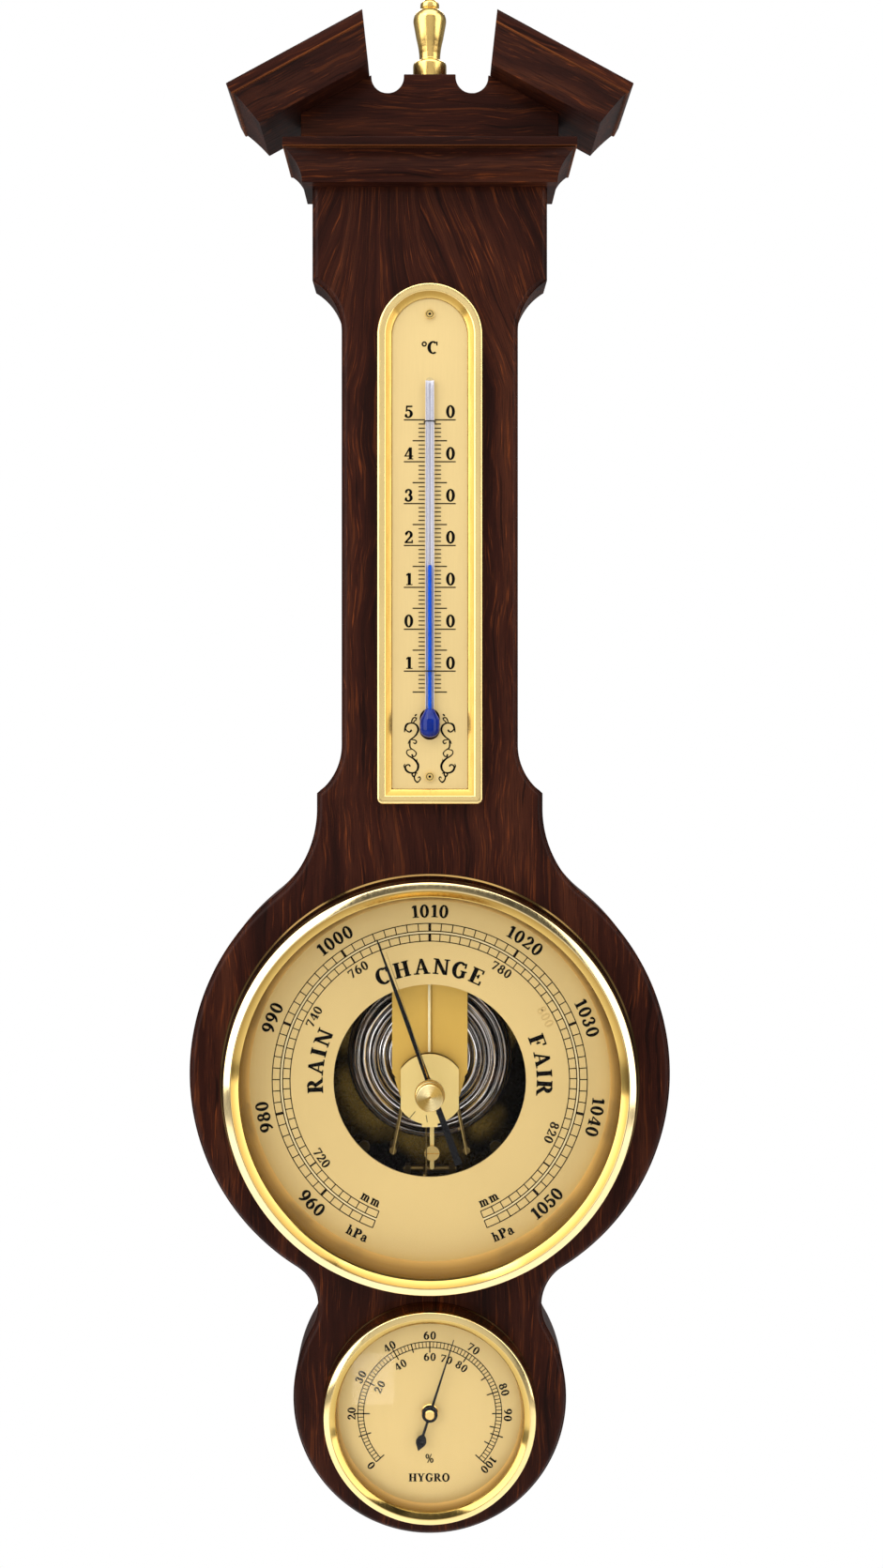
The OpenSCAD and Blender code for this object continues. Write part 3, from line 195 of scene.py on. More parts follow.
def joined(parts):
    """Several (points, faces) in one list of each."""
    pts, faces, start = [], [], 0
    for p, f in parts:
        p = np.asarray(p, float).reshape(-1, 3)
        pts.append(p)
        faces.extend([tuple(int(i) + start for i in face) for face in f])
        start += len(p)
    return np.vstack(pts), faces


def arc(cx, cz, r, a0, a1, step=1.0):
    """Points on a circle from angle a0 to a1 in degrees, counted from +x towards +z, about step mm apart."""
    n = max(3, int(abs(math.radians(a1 - a0)) * r / step) + 1)
    a = np.radians(np.linspace(a0, a1, n))
    return np.column_stack((cx + r * np.cos(a), cz + r * np.sin(a)))


def ring(r, z, n=192):
    """Points of a circle of radius r about (0, z)."""
    a = np.linspace(0, 2 * math.pi, n, endpoint=False)
    return np.column_stack((r * np.sin(a), z + r * np.cos(a)))


def mitred(path, closed=False):
    """For each point of a path, the step sideways (to its left) that keeps an even distance from both
    neighbouring stretches."""
    path = np.asarray(path, float)
    after = np.roll(path, -1, 0) - path
    if not closed:
        after[-1] = after[-2]
    before = np.roll(after, 1, 0)
    if not closed:
        before[0] = after[0]
    n1 = np.column_stack((-before[:, 1], before[:, 0]))
    n2 = np.column_stack((-after[:, 1], after[:, 0]))
    n1 /= np.linalg.norm(n1, axis=1)[:, None]
    n2 /= np.linalg.norm(n2, axis=1)[:, None]
    return (n1 + n2) / (1 + np.sum(n1 * n2, axis=1))[:, None]


def swept(path, section, closed=False):
    """A section of (inset, h) points carried along a path of (x, z), the inset going to the path's left."""
    path, section = np.asarray(path, float), np.asarray(section, float)
    side = mitred(path, closed)
    flat = path[None] + section[:, :1, None] * side[None]
    h = np.broadcast_to(section[:, 1][:, None], flat.shape[:2])
    pts = np.stack((flat[..., 0], h, flat[..., 1]), -1)
    return pts, grid_faces(len(section), len(path), False, closed)


# Materials


class Finish:
    """A material with its nodes: add() makes a node and sets its sockets, linking those given as sockets."""

    def __init__(self, name):
        self.material = bpy.data.materials.new(name)
        self.material.use_nodes = True
        self.tree = self.material.node_tree
        self.tree.nodes.clear()
        self.out = self.tree.nodes.new("ShaderNodeOutputMaterial")

    def add(self, kind, settings=None, **sockets):
        node = self.tree.nodes.new("ShaderNode" + kind)
        for key, value in (settings or {}).items():
            setattr(node, key, value)
        for key, value in sockets.items():
            name = key.replace("_", " ")
            socket = node.inputs[int(key[1:])] if key[0] == "i" and key[1:].isdigit() else node.inputs[name]
            if isinstance(value, bpy.types.NodeSocket):
                self.tree.links.new(value, socket)
            else:
                socket.default_value = value
        return node

    def spread(self, centre=(0, 0, 0), scale=(1, 1, 1), turn=(0, 0, 0)):
        """Object coordinates, centred, turned and stretched."""
        at = self.add("TexCoord").outputs["Object"]
        mapping = self.add("Mapping", None, Vector=at, Location=centre, Rotation=turn, Scale=scale)
        return mapping.outputs[0]

    def split(self, vector):
        """The x, y and z of a vector."""
        return tuple(self.add("SeparateXYZ", None, Vector=vector).outputs)

    def join(self, x, y=0.0, z=0.0):
        """The vector with these parts."""
        return self.add("CombineXYZ", None, X=x, Y=y, Z=z).outputs[0]

    def noise(self, vector, scale, detail=4.0, roughness=0.55):
        return self.add("TexNoise", None, Vector=vector, Scale=scale, Detail=detail,
                        Roughness=roughness).outputs["Fac"]

    def ramp(self, factor, stops):
        """Colours or greys set at places along a factor."""
        node = self.add("ValToRGB", None, Fac=factor)
        ramp = node.color_ramp
        while len(ramp.elements) > 1:
            ramp.elements.remove(ramp.elements[-1])
        for i, (place, colour) in enumerate(stops):
            stop = ramp.elements[0] if i == 0 else ramp.elements.new(place)
            stop.position = place
            if not isinstance(colour, (tuple, list)):
                colour = (colour,) * 3
            stop.color = (*colour[:3], 1)
        return node.outputs["Color"]

    def blend(self, factor, a, b):
        """From colour a at factor 0 to colour b at 1."""
        node = self.add("Mix", {"data_type": "RGBA", "clamp_result": True})
        for name, value in (("Factor", factor), ("A", a), ("B", b)):
            socket = [s for s in node.inputs if s.name == name and s.enabled][0]
            if isinstance(value, bpy.types.NodeSocket):
                self.tree.links.new(value, socket)
            else:
                socket.default_value = value if name == "Factor" else (*value[:3], 1)
        return [s for s in node.outputs if s.enabled][0]

    def away(self, x, z):
        """How far a place is from the axis square to the wall through (x, z) in mm, in metres."""
        across, _, up = self.split(self.spread(centre=(-x * MM, 0, -z * MM)))
        return self.add("VectorMath", {"operation": "LENGTH"}, i0=self.join(across, 0.0, up)).outputs["Value"]

    def math(self, operation, a, b=0.0):
        return self.add("Math", {"operation": operation}, i0=a, i1=b).outputs[0]

    def bump(self, height, distance, strength=1.0):
        return self.add("Bump", None, Height=height, Distance=distance, Strength=strength).outputs[0]

    def shade(self, **sockets):
        """Ends the material in a Principled shader."""
        shader = self.add("BsdfPrincipled", None, **sockets)
        self.tree.links.new(shader.outputs[0], self.out.inputs[0])
        return self.material


def dimmed(colour, share):
    """A colour times a share."""
    return tuple(c * share for c in colour)


def stained_wood(name, turn=0.0, seed=0.0, arched=False, worn=0.0):
    """Dark red-brown stained wood under satin lacquer. Its grain runs along z, or turned by so many
    degrees. Arched grain leans away on both sides of x = -17.6 in the frieze, by 0.35 * the height above
    -58 in mm. The stain is worn through along an arris that lies at worn mm across the grain."""
    f = Finish(name)
    here = f.spread(centre=(seed, seed * 0.7, seed * 0.3), turn=(0, math.radians(turn), 0))
    if arched:
        x, y, z = f.split(here)
        off = f.math("MULTIPLY", f.math("ADD", x, 0.0176), 70.0)
        side = f.math("MAXIMUM", f.math("MINIMUM", off, 1.0), -1.0)
        over = f.math("MULTIPLY", f.math("MAXIMUM", f.math("ADD", z, 0.058), 0.0), 0.35)
        here = f.join(f.math("ADD", x, f.math("MULTIPLY", side, over)), y, z)

    def stretched(start, across, depth, along, detail=4.0, roughness=0.55):
        drawn = f.add("Mapping", None, Vector=start, Scale=(across, depth, along)).outputs[0]
        return f.noise(drawn, 1.0, detail, roughness)

    sway = stretched(here, 15, 15, 21, 2.0)
    swayed = f.add("VectorMath", {"operation": "ADD"}, i0=here,
                   i1=f.join(f.math("MULTIPLY", sway, 0.013))).outputs[0]
    flames = stretched(swayed, 1500, 600, 66, 4.0, 0.6)
    lines = stretched(swayed, 560, 260, 20, 3.0, 0.5)
    bands = stretched(swayed, 120, 60, 8)
    pores = stretched(here, 2600, 1500, 70, 2.0, 0.5)
    ground = f.ramp(bands, [(0.34, (0.0125, 0.0036, 0.0026)), (0.50, (0.0245, 0.0062, 0.0038)),
                            (0.66, (0.045, 0.0125, 0.0062))])
    glow = f.math("MULTIPLY", f.ramp(flames, [(0.57, 0.0), (0.64, 0.4), (0.71, 1.0)]),
                  f.ramp(bands, [(0.38, 0.3), (0.56, 1.0)]))
    lit = f.blend(glow, ground, (0.135, 0.032, 0.0085))
    lit = f.blend(f.ramp(lines, [(0.63, 0.0), (0.655, 0.35), (0.70, 0.45)]), lit, (0.095, 0.024, 0.007))
    lit = f.blend(f.ramp(lines, [(0.32, 0.8), (0.36, 0.0)]), lit, (0.007, 0.0024, 0.002))
    colour = f.blend(f.ramp(pores, [(0.36, 0.6), (0.47, 0.0)]), lit, (0.008, 0.0027, 0.002))
    if worn:
        off = f.math("ABSOLUTE", f.math("SUBTRACT", f.split(here)[0], seed + worn * MM))
        near = f.ramp(f.math("MULTIPLY", off, 1 / MM), [(0.12, 0.7), (0.34, 0.0)])
        near = f.math("MULTIPLY", near, f.ramp(sway, [(0.35, 0.35), (0.6, 1.0)]))
        colour = f.blend(near, colour, (0.19, 0.055, 0.015))
    rough = f.ramp(pores, [(0.3, 0.46), (0.6, 0.34)])
    return f.shade(Base_Color=colour, Roughness=rough, Specular_IOR_Level=0.05,
                   Specular_Tint=(1.0, 0.62, 0.5, 1), Coat_Weight=0.06, Coat_Roughness=0.16,
                   Normal=f.bump(pores, 0.00003, 0.5))


def wiped(f, shade, rough):
    """Ends a polished metal of the given shade, with fine wiping marks."""
    wipe = f.noise(f.spread(scale=(900, 900, 140)), 1.0, 3.0)
    roughness = f.ramp(wipe, [(0.3, rough * 0.8), (0.7, rough * 1.4)])
    return f.shade(Base_Color=shade, Metallic=1.0, Roughness=roughness, Normal=f.bump(wipe, 0.0000006, 0.3))


def polished_brass(name, colour=(0.95, 0.67, 0.24), rough=0.1):
    """Lacquered brass with a slow change of tone."""
    f = Finish(name)
    tone = f.noise(f.spread(), 26.0, 3.0)
    return wiped(f, f.blend(f.ramp(tone, [(0.35, 0.0), (0.7, 1.0)]), colour, dimmed(colour, 0.86)), rough)


def brass_with_painted_reflections(name, centre, stops, rough=0.1, foot=None):
    """Polished brass whose tone is painted by the radius about centre (x, z), as painted reflections: bright
    and dark bands stand in for what the brass mirrors. Stops are (radius in mm, tone).
    Given a foot, the radius holds above the centre only; beneath it counts abs(x), or foot - z where that
    is more."""
    f = Finish(name)
    low, high = stops[0][0], stops[-1][0]
    if foot is None:
        radius = f.away(*centre)
    else:
        x, _, z = f.split(f.spread())
        over = f.math("MAXIMUM", f.math("SUBTRACT", z, centre[1] * MM), 0.0)
        square = f.math("ADD", f.math("MULTIPLY", x, x), f.math("MULTIPLY", over, over))
        radius = f.math("MAXIMUM", f.math("SQRT", square), f.math("SUBTRACT", foot * MM, z))
    # Painted reflections: bright and dark bands by radius
    place = f.math("MULTIPLY", f.math("SUBTRACT", radius, low * MM), 1 / MM / (high - low))
    shade = f.ramp(place, [((r - low) / (high - low), tone) for r, tone in stops])
    tone = f.noise(f.spread(), 26.0, 3.0)
    return wiped(f, f.blend(f.ramp(tone, [(0.35, 0.0), (0.7, 0.2)]), shade, (0.5, 0.33, 0.1)), rough)


def satin_brass(name, colour, rough=0.44, metal=0.4, rim=None):
    """Pale satin-lacquered brass, brushed upright. With rim = (x, z, r) it is painted darker in a 4 mm
    band that ends at that circle: painted shade that the rim above casts on it."""
    f = Finish(name)
    brush = f.noise(f.spread(scale=(2400, 900, 90)), 1.0, 3.0, 0.6)
    tone = f.noise(f.spread(), 14.0, 2.0)
    shade = f.blend(f.ramp(tone, [(0.3, 0.0), (0.75, 1.0)]), colour, dimmed(colour, 0.93))
    shade = f.blend(f.ramp(brush, [(0.3, 0.10), (0.7, 0.0)]), shade, dimmed(colour, 0.72))
    if rim:
        x, z, r = rim
        band = 4.0
        # Painted shade: darker towards the rim circle, over the last 4 mm
        near = f.math("MULTIPLY", f.math("SUBTRACT", f.away(x, z), (r - band) * MM), 1 / MM / band)
        shade = f.blend(f.ramp(near, [(0.0, 0.0), (0.5, 0.1), (1.0, 0.36)]), shade, (0.42, 0.27, 0.07))
    roughness = f.ramp(brush, [(0.3, rough * 1.12), (0.7, rough * 0.9)])
    return f.shade(Base_Color=shade, Metallic=metal, Roughness=roughness, Normal=f.bump(brush, 0.000008, 0.4))


def bevel_brass(name, rough, z, clear, dark):
    """Brass with rings left by the lathe about an axis square to the wall at (0, z). It is clear up to one
    radius in mm, and is painted amber and then dark up to the other: painted shade under the bezel's lip."""
    f = Finish(name)
    colour = (0.80, 0.60, 0.27)
    radius = f.away(0, z)
    lines = f.noise(f.join(f.math("MULTIPLY", radius, 500.0)), 1.0, 3.0, 0.7)
    tone = f.noise(f.spread(centre=(0, 0, -z * MM)), 40.0, 3.0)
    shade = f.blend(f.ramp(lines, [(0.3, 0.05), (0.7, 0.0)]), colour, dimmed(colour, 0.55))
    shade = f.blend(f.ramp(tone, [(0.4, 0.0), (0.75, 0.35)]), shade, dimmed(colour, 0.78))
    # Painted shade: amber, then near black, towards the outer radius under the lip
    into_painted_shade = f.math("MULTIPLY", f.math("SUBTRACT", radius, clear * MM), 1 / MM / (dark - clear))
    shade = f.blend(f.ramp(into_painted_shade, [(0.0, 0.0), (0.5, 0.6), (1.0, 0.93)]), shade, (0.20, 0.105, 0.015))
    roughness = f.ramp(lines, [(0.3, rough * 1.3), (0.7, rough * 0.8)])
    return f.shade(Base_Color=shade, Metallic=1.0, Roughness=roughness, Normal=f.bump(lines, 0.000012, 0.6))


def capsule_metal():
    """Nickel-silver whose pressed rings are painted light on their crests and near black in the hollows
    between
    them: painted highlight and painted shade that follow the rings."""
    f = Finish("capsule_nickel")
    here = f.spread(centre=(0, 0, -CAPS_Z * MM))
    drift = f.math("MULTIPLY", f.noise(here, 45.0, 2.0), 0.0022)
    along = f.math("MULTIPLY", f.math("ADD", f.away(0, CAPS_Z), drift), 760.0)
    rings = f.noise(f.join(along), 1.0, 3.0, 0.65)
    stain = f.noise(here, 190.0, 3.0)
    bright = f.blend(stain, (1.0, 1.0, 1.0), (0.86, 0.78, 0.72))
    dark = f.blend(f.ramp(stain, [(0.45, 0.0), (0.62, 1.0)]), (0.010, 0.009, 0.009), (0.085, 0.05, 0.03))
    # Painted highlight on the crests, painted shade in the hollows
    shade = f.blend(f.ramp(rings, [(0.465, 0.0), (0.50, 0.3), (0.54, 1.0)]), dark, bright)
    return f.shade(Base_Color=shade, Metallic=1.0, Roughness=f.ramp(rings, [(0.4, 0.3), (0.65, 0.13)]))


def murky_brass(name, low, high, rough=0.28):
    """Brass deep inside the housing, painted nearly black as painted shade, with soft amber patches."""
    f = Finish(name)
    here = f.spread()
    patch = f.ramp(f.noise(here, 52.0, 1.0, 0.4), [(0.46, 0.0), (0.62, 1.0)])
    roughness = f.ramp(f.noise(here, 900.0, 2.0), [(0.3, rough * 0.8), (0.7, rough * 1.2)])
    return f.shade(Base_Color=f.blend(patch, low, high), Metallic=1.0, Roughness=roughness)


def plain_metal(name, colour, rough):
    """Machined metal with a fine random grain."""
    f = Finish(name)
    grain = f.noise(f.spread(scale=(1700, 500, 700)), 1.0, 3.0)
    shade = f.blend(f.ramp(grain, [(0.3, 0.35), (0.7, 0.0)]), colour, dimmed(colour, 0.7))
    roughness = f.ramp(grain, [(0.3, rough * 1.25), (0.7, rough * 0.85)])
    return f.shade(Base_Color=shade, Metallic=1.0, Roughness=roughness, Normal=f.bump(grain, 0.00001, 0.5))


def enamel(name, colour=(0.0035, 0.0035, 0.0045), rough=0.3):
    """Gloss black enamel with a faint orange peel."""
    f = Finish(name)
    peel = f.noise(f.spread(), 2200.0, 2.0)
    shade = f.ramp(peel, [(0.3, dimmed(colour, 0.8)), (0.7, dimmed(colour, 1.2))])
    return f.shade(Base_Color=shade, Roughness=f.ramp(peel, [(0.3, rough * 0.85), (0.7, rough * 1.15)]),
                   Specular_IOR_Level=0.2, Normal=f.bump(peel, 0.000004, 0.3))


def print_ink(name, colour=(0.0035, 0.003, 0.0025)):
    """Silk-screen ink, thin enough for a little unevenness."""
    f = Finish(name)
    grain = f.noise(f.spread(), 5200.0, 2.0)
    shade = f.ramp(grain, [(0.3, dimmed(colour, 0.75)), (0.7, dimmed(colour, 1.4))])
    return f.shade(Base_Color=shade, Roughness=f.ramp(grain, [(0.3, 0.62), (0.7, 0.5)]),
                   Specular_IOR_Level=0.03)


def clear_glass(name, tint=(1, 1, 1), shine=0.006):
    """Thin glass: a small share is mirrored, more of it at a slant, and the rest is let straight through."""
    f = Finish(name)
    through = f.add("BsdfTransparent", None, Color=(*tint, 1))
    mirror = f.add("BsdfGlossy", None, Color=(1, 1, 1, 1), Roughness=0.02)
    slant = f.add("LayerWeight", None, Blend=0.5).outputs["Facing"]
    share = f.math("ADD", f.math("MULTIPLY", f.math("POWER", slant, 4.5), 0.55), shine)
    mix = f.add("MixShader", None, i0=share, i1=through.outputs[0], i2=mirror.outputs[0])
    f.tree.links.new(mix.outputs[0], f.out.inputs[0])
    return f.material


WOOD = stained_wood("case_wood_upright", arched=True)
WOOD_ACROSS = stained_wood("case_wood_across", 90, 0.031, worn=23.5)
WOOD_LEFT = stained_wood("case_wood_left_rake", 90 + RAKE_SLOPE, 0.057, worn=66.15)
WOOD_RIGHT = stained_wood("case_wood_right_rake", 90 - RAKE_SLOPE, 0.083, worn=66.15)
BRASS = polished_brass("brass_polished")
# Painted reflections on both bezels: the front band bright, the slope inside it and the outer flank dark
BEZEL_BRASS = brass_with_painted_reflections("bezel_brass", (0, BARO_Z), [
    (67.2, (0.60, 0.41, 0.12)), (68.6, (0.42, 0.27, 0.07)), (69.5, (0.30, 0.18, 0.04)),
    (69.9, (1.0, 0.80, 0.42)), (72.5, (1.0, 0.80, 0.42)), (73.0, (0.3, 0.18, 0.05)),
    (74.2, (0.10, 0.055, 0.02))])
HYGRO_BRASS = brass_with_painted_reflections("hygrometer_bezel_brass", (0, HYGRO_Z), [
    (33.2, (0.50, 0.33, 0.09)), (34.9, (0.62, 0.43, 0.13)), (35.4, (0.98, 0.75, 0.34)),
    (37.2, (0.98, 0.75, 0.34)), (38.2, (0.3, 0.18, 0.05))])
# Painted shade under the lip of each bezel
BRASS_BEVEL = bevel_brass("brass_inner_bevel", 0.5, BARO_Z, 64.4, 67.0)
HYGRO_BEVEL = bevel_brass("hygrometer_bevel_brass", 0.45, HYGRO_Z, 32.2, 33.6)
# Both dials carry painted shade along the rim of their bezel
DIAL = satin_brass("dial_satin_brass", (0.735, 0.535, 0.215), rim=(0, BARO_Z, 64.6))
HYGRO_DIAL = satin_brass("hygrometer_dial_brass", (0.735, 0.535, 0.215), rim=(0, HYGRO_Z, 32.5))
PLATE = satin_brass("plate_satin_brass", (0.70, 0.52, 0.225))
COCK = satin_brass("cock_satin_brass", (0.80, 0.60, 0.22), 0.42, 0.4)
# Pale brass for painted highlights: the back of the bridge's rib and the line between the scale's rows
PAINTED_HIGHLIGHT_BRASS = satin_brass("rib_painted_highlight_brass", (1.0, 0.88, 0.52), 0.2, 0.3)
BRIDGE = satin_brass("bridge_satin_brass", (0.80, 0.50, 0.10), 0.36, 0.6)
MOVEMENT = plain_metal("movement_brass", (0.84, 0.58, 0.2), 0.22)
# Painted shade: near black brass for parts deep inside the housing
BRASS_IN_PAINTED_SHADE = murky_brass("aged_brass", (0.004, 0.003, 0.0015), (0.125, 0.08, 0.018))
DULL = plain_metal("dull_brass", (0.16, 0.105, 0.035), 0.34)
FINIAL = polished_brass("finial_brass", (0.86, 0.58, 0.18), 0.22)
NICKEL = capsule_metal()
STEEL = plain_metal("steel", (0.62, 0.62, 0.63), 0.3)


def turned_face(name, colour, rough, centre):
    """Brass turned on the lathe so finely that its shine fans out from the axis, square to the wall through
    centre. Light and dark sectors round the axis are also painted into its colour: painted highlight and
    shade."""
    f = Finish(name)
    x, _, z = f.split(f.spread(centre=(-centre[0] * MM, 0, -centre[1] * MM)))
    spaces = {"vector_type": "VECTOR", "convert_from": "OBJECT", "convert_to": "WORLD"}
    round_way = f.add("VectorTransform", spaces, i0=f.join(z, 0.0, f.math("MULTIPLY", x, -1.0))).outputs[0]
    radius = f.away(*centre)
    cuts = f.noise(f.join(f.math("MULTIPLY", radius, 5200.0)), 1.0, 2.0, 0.7)
    shade = f.blend(f.ramp(cuts, [(0.3, 0.25), (0.7, 0.0)]), colour, dimmed(colour, 0.6))
    # Painted highlight and painted shade: light and dark sectors round the axis
    angle = f.math("ADD", f.math("ARCTAN2", z, x), 0.9)
    painted_fan = f.math("MULTIPLY", f.math("ADD", f.math("COSINE", f.math("MULTIPLY", angle, 2.0)), 1.0), 0.5)
    shade = f.blend(f.ramp(painted_fan, [(0.1, 0.95), (0.5, 0.45), (0.8, 0.0)]), shade, (0.46, 0.28, 0.06))
    centimetres = f.math("MULTIPLY", radius, 100.0)
    rims = f.ramp(centimetres, [(0.012, 1.0), (0.022, 0.0), (0.476, 0.0), (0.482, 1.0)])
    shade = f.blend(rims, shade, (0.34, 0.2, 0.05))
    return f.shade(Base_Color=shade, Metallic=1.0,
                   Roughness=f.ramp(cuts, [(0.3, rough * 1.2), (0.7, rough * 0.8)]), Anisotropic=0.85,
                   Tangent=round_way)


KNOB = turned_face("knob_brass", (1.0, 0.80, 0.40), 0.26, (0, BARO_Z))
BLACK = enamel("black_enamel")
INK = print_ink("scale_ink")
SCALE_LINE = print_ink("scale_line_ink", (0.014, 0.009, 0.005))
WORN_INK = print_ink("worn_ink", (0.012, 0.009, 0.006))
RUBBED_INK = print_ink("rubbed_ink", (0.52, 0.36, 0.14))
GLASS = clear_glass("dial_glass")
TUBE_GLASS = clear_glass("tube_glass", (0.93, 0.94, 0.96), 0.012)


def liquid_finish(name, dark, light, gloss):
    """Blue spirit behind glass, under a share of gloss."""
    f = Finish(name)
    tone = f.noise(f.spread(), 300.0, 2.0)
    return f.shade(Base_Color=f.ramp(tone, [(0.3, dark), (0.7, light)]), Roughness=0.12,
                   Specular_IOR_Level=gloss * 0.5, Coat_Weight=gloss, Coat_Roughness=0.03)


SPIRIT = liquid_finish("blue_spirit", (0.0, 0.05, 0.42), (0.0, 0.08, 0.54), 0.05)
BULB_GLASS = liquid_finish("blue_bulb", (0.0, 0.008, 0.11), (0.0, 0.016, 0.20), 0.22)


def milk_glass(name, dark, light):
    """White glass, faintly streaked along the tube."""
    f = Finish(name)
    tone = f.noise(f.spread(scale=(900, 900, 40)), 1.0, 2.0)
    return f.shade(Base_Color=f.ramp(tone, [(0.3, dark), (0.7, light)]), Roughness=0.25, Coat_Weight=0.3)


MILK = milk_glass("tube_milk_glass", (0.60, 0.58, 0.63), (0.74, 0.72, 0.76))
BORE = milk_glass("tube_empty_bore", (0.24, 0.23, 0.27), (0.34, 0.33, 0.37))


def pale_wood(name):
    """Bare beech with its grain upright."""
    f = Finish(name)
    grain = f.noise(f.spread(scale=(900, 900, 60)), 1.0, 3.0)
    return f.shade(Base_Color=f.ramp(grain, [(0.3, (0.42, 0.26, 0.13)), (0.7, (0.55, 0.37, 0.2))]),
                   Roughness=0.6)


DOWEL = pale_wood("dowel_beech")


# Case


def case_side():
    """The right-hand outline from the frieze's top down to the bulb's lowest point, made of lines and of
    arcs that touch: hollow where the centre is outside the wood, full where it is inside."""
    cove_x = NECK_HALF + COVE_R
    top_z = FRIEZE_LOW - math.sqrt(COVE_R**2 - (cove_x - FRIEZE_HALF) ** 2)
    low_z = LIP_TOP + math.sqrt(COVE_R**2 - (cove_x - LIP_HALF) ** 2)
    drop = LIP_LOW - DISC_Z
    ogee_r = ((LIP_HALF - DISC_SPREAD) ** 2 + drop**2 - DISC_R**2) / (2 * (DISC_R - LIP_HALF + DISC_SPREAD))
    ogee_x = LIP_HALF + ogee_r
    ogee_a = math.degrees(math.atan2(drop, ogee_x - DISC_SPREAD))
    waist_x = WAIST_HALF + WAIST_R
    top_a = math.degrees(math.atan2(DISC_Z - WAIST_Z, waist_x - DISC_SPREAD))
    low_a = math.degrees(math.atan2(WAIST_Z - BULB_Z, waist_x))
    cove_top_a = math.degrees(math.acos((cove_x - FRIEZE_HALF) / COVE_R))
    cove_low_a = math.degrees(math.acos((cove_x - LIP_HALF) / COVE_R))
    side = [np.array([[FRIEZE_HALF, FRIEZE_TOP], [FRIEZE_HALF, FRIEZE_LOW]]),
            arc(cove_x, top_z, COVE_R, 180 - cove_top_a, 180)[1:],
            arc(cove_x, low_z, COVE_R, 180, 180 + cove_low_a),
            np.array([[LIP_HALF, LIP_LOW]]),
            arc(ogee_x, LIP_LOW, ogee_r, 180, 180 + ogee_a)[1:],
            arc(DISC_SPREAD, DISC_Z, DISC_R, ogee_a, -top_a)[1:],
            arc(waist_x, WAIST_Z, WAIST_R, 180 - top_a, 180 + low_a, 0.7)[1:],
            arc(0, BULB_Z, BULB_R, low_a, -90)[1:]]
    return np.vstack(side)


def case_edge():
    """The section of the board's front edge from the face round to the back: quarter round, quirk, side."""
    a = np.radians(np.linspace(90, 180, 10))
    centre = EDGE_QUIRK + EDGE_R
    bead = np.column_stack((centre + EDGE_R * np.cos(a), BOARD - EDGE_R + EDGE_R * np.sin(a)))
    low = BOARD - EDGE_R - 0.25
    quirk = [(EDGE_QUIRK, low), (0.06, low), (0.0, low - 0.08), (0, 0)]
    return np.vstack((bead, quirk))


def make_case():
    """The board: its edge section carried round the outline, a front face open over both instruments,
    and a back with the recess and pocket of the hanger."""
    right = case_side()
    left = right[::-1][1:] * (-1, 1)
    path = np.vstack((right, left))[::-1]
    section = case_edge()
    edge_pts, edge_faces = swept(path, section)
    rows = edge_pts.reshape(len(section), len(path), 3)
    front, back = rows[0][:, [0, 2]], rows[-1][:, [0, 2]]
    baro, hygro = ring(CAN_R + 0.1, BARO_Z), ring(34.3, HYGRO_Z, 128)
    hygro_floor, recess, pocket_end = 9, 1.5, 8.5
    plate = np.array([[-12.1, -15.1], [12.1, -15.1], [12.1, 11.1], [-12.1, 11.1]])
    pocket = np.vstack((arc(0, 0, 5.5, 180, 360), arc(0, 6.4, 5.5, 0, 180)))
    top = [tuple(p) for p in rows[:, 0]] + [tuple(p) for p in rows[::-1, -1]]
    top_flat = [[(*p[:2], 0.0) for p in top]]
    pieces = [(edge_pts, edge_faces), filled([front, baro, hygro], BOARD), filled([back, baro, plate], 0),
              (np.array(top), tessellate_polygon(top_flat)), wall(baro, 0, BOARD),
              wall(hygro, hygro_floor, BOARD), filled([hygro], hygro_floor), wall(plate, 0, recess),
              filled([plate, pocket], recess), wall(pocket, recess, pocket_end), filled([pocket], pocket_end)]
    pts, faces = joined(pieces)
    case = build("case_board", pts, faces, WOOD, slot="case_wood", sharp=28)
    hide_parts("case_body")


def cove_curve(reach, height, bow, steps=14):
    """A hollow arc from (0, 0) to (reach, height) whose middle lies bow behind the straight line between
    them."""
    chord = math.hypot(reach, height)
    r = (chord**2 / 4 + bow**2) / (2 * bow)
    half = math.asin(chord / 2 / r)
    a = np.linspace(-half, half, steps)
    along, back = r * np.sin(a) + chord / 2, r * np.cos(a) - (r - bow)
    return np.column_stack(((along * reach - back * height) / chord, (along * height + back * reach) / chord))


def full_bow(reach, height):
    """The bow of a hollow arc that starts out upright."""
    r = (reach**2 + height**2) / (2 * reach)
    return r - math.sqrt(r**2 - (reach**2 + height**2) / 4)


def moulding(front_foot, front_reach, side_foot, side_reach, cove, fillet_h, step, bows):
    """For each level of a cornice moulding: (height, forward, sideways) up the cove, over its step and
    fillet."""
    front, side = cove_curve(front_reach, cove, bows[0]), cove_curve(side_reach, cove, bows[1])
    up = front[:, 1]
    sideways = np.interp(up, side[:, 1], side[:, 0])
    rows = np.column_stack((up, front_foot + front[:, 0], side_foot + sideways))
    f, s, top = front_foot + front_reach + step, side_foot + side_reach + step, cove + fillet_h
    soft = 0.35
    ends = [(cove, f - soft, s - soft), (cove + 0.12, f - 0.1, s - 0.1), (cove + soft, f, s),
            (top - soft, f, s), (top - 0.1, f - 0.1, s - 0.1), (top, f - soft, s - soft)]
    return np.vstack((rows, ends))


def level_corners(left, right, front):
    """For each level of a cornice its four corners (across, h): back left, front left, front right, back
    right."""
    back = 0 * front
    corners = ((left, back), (left, front), (right, front), (right, back))
    return np.stack([np.column_stack(corner) for corner in corners], 1)


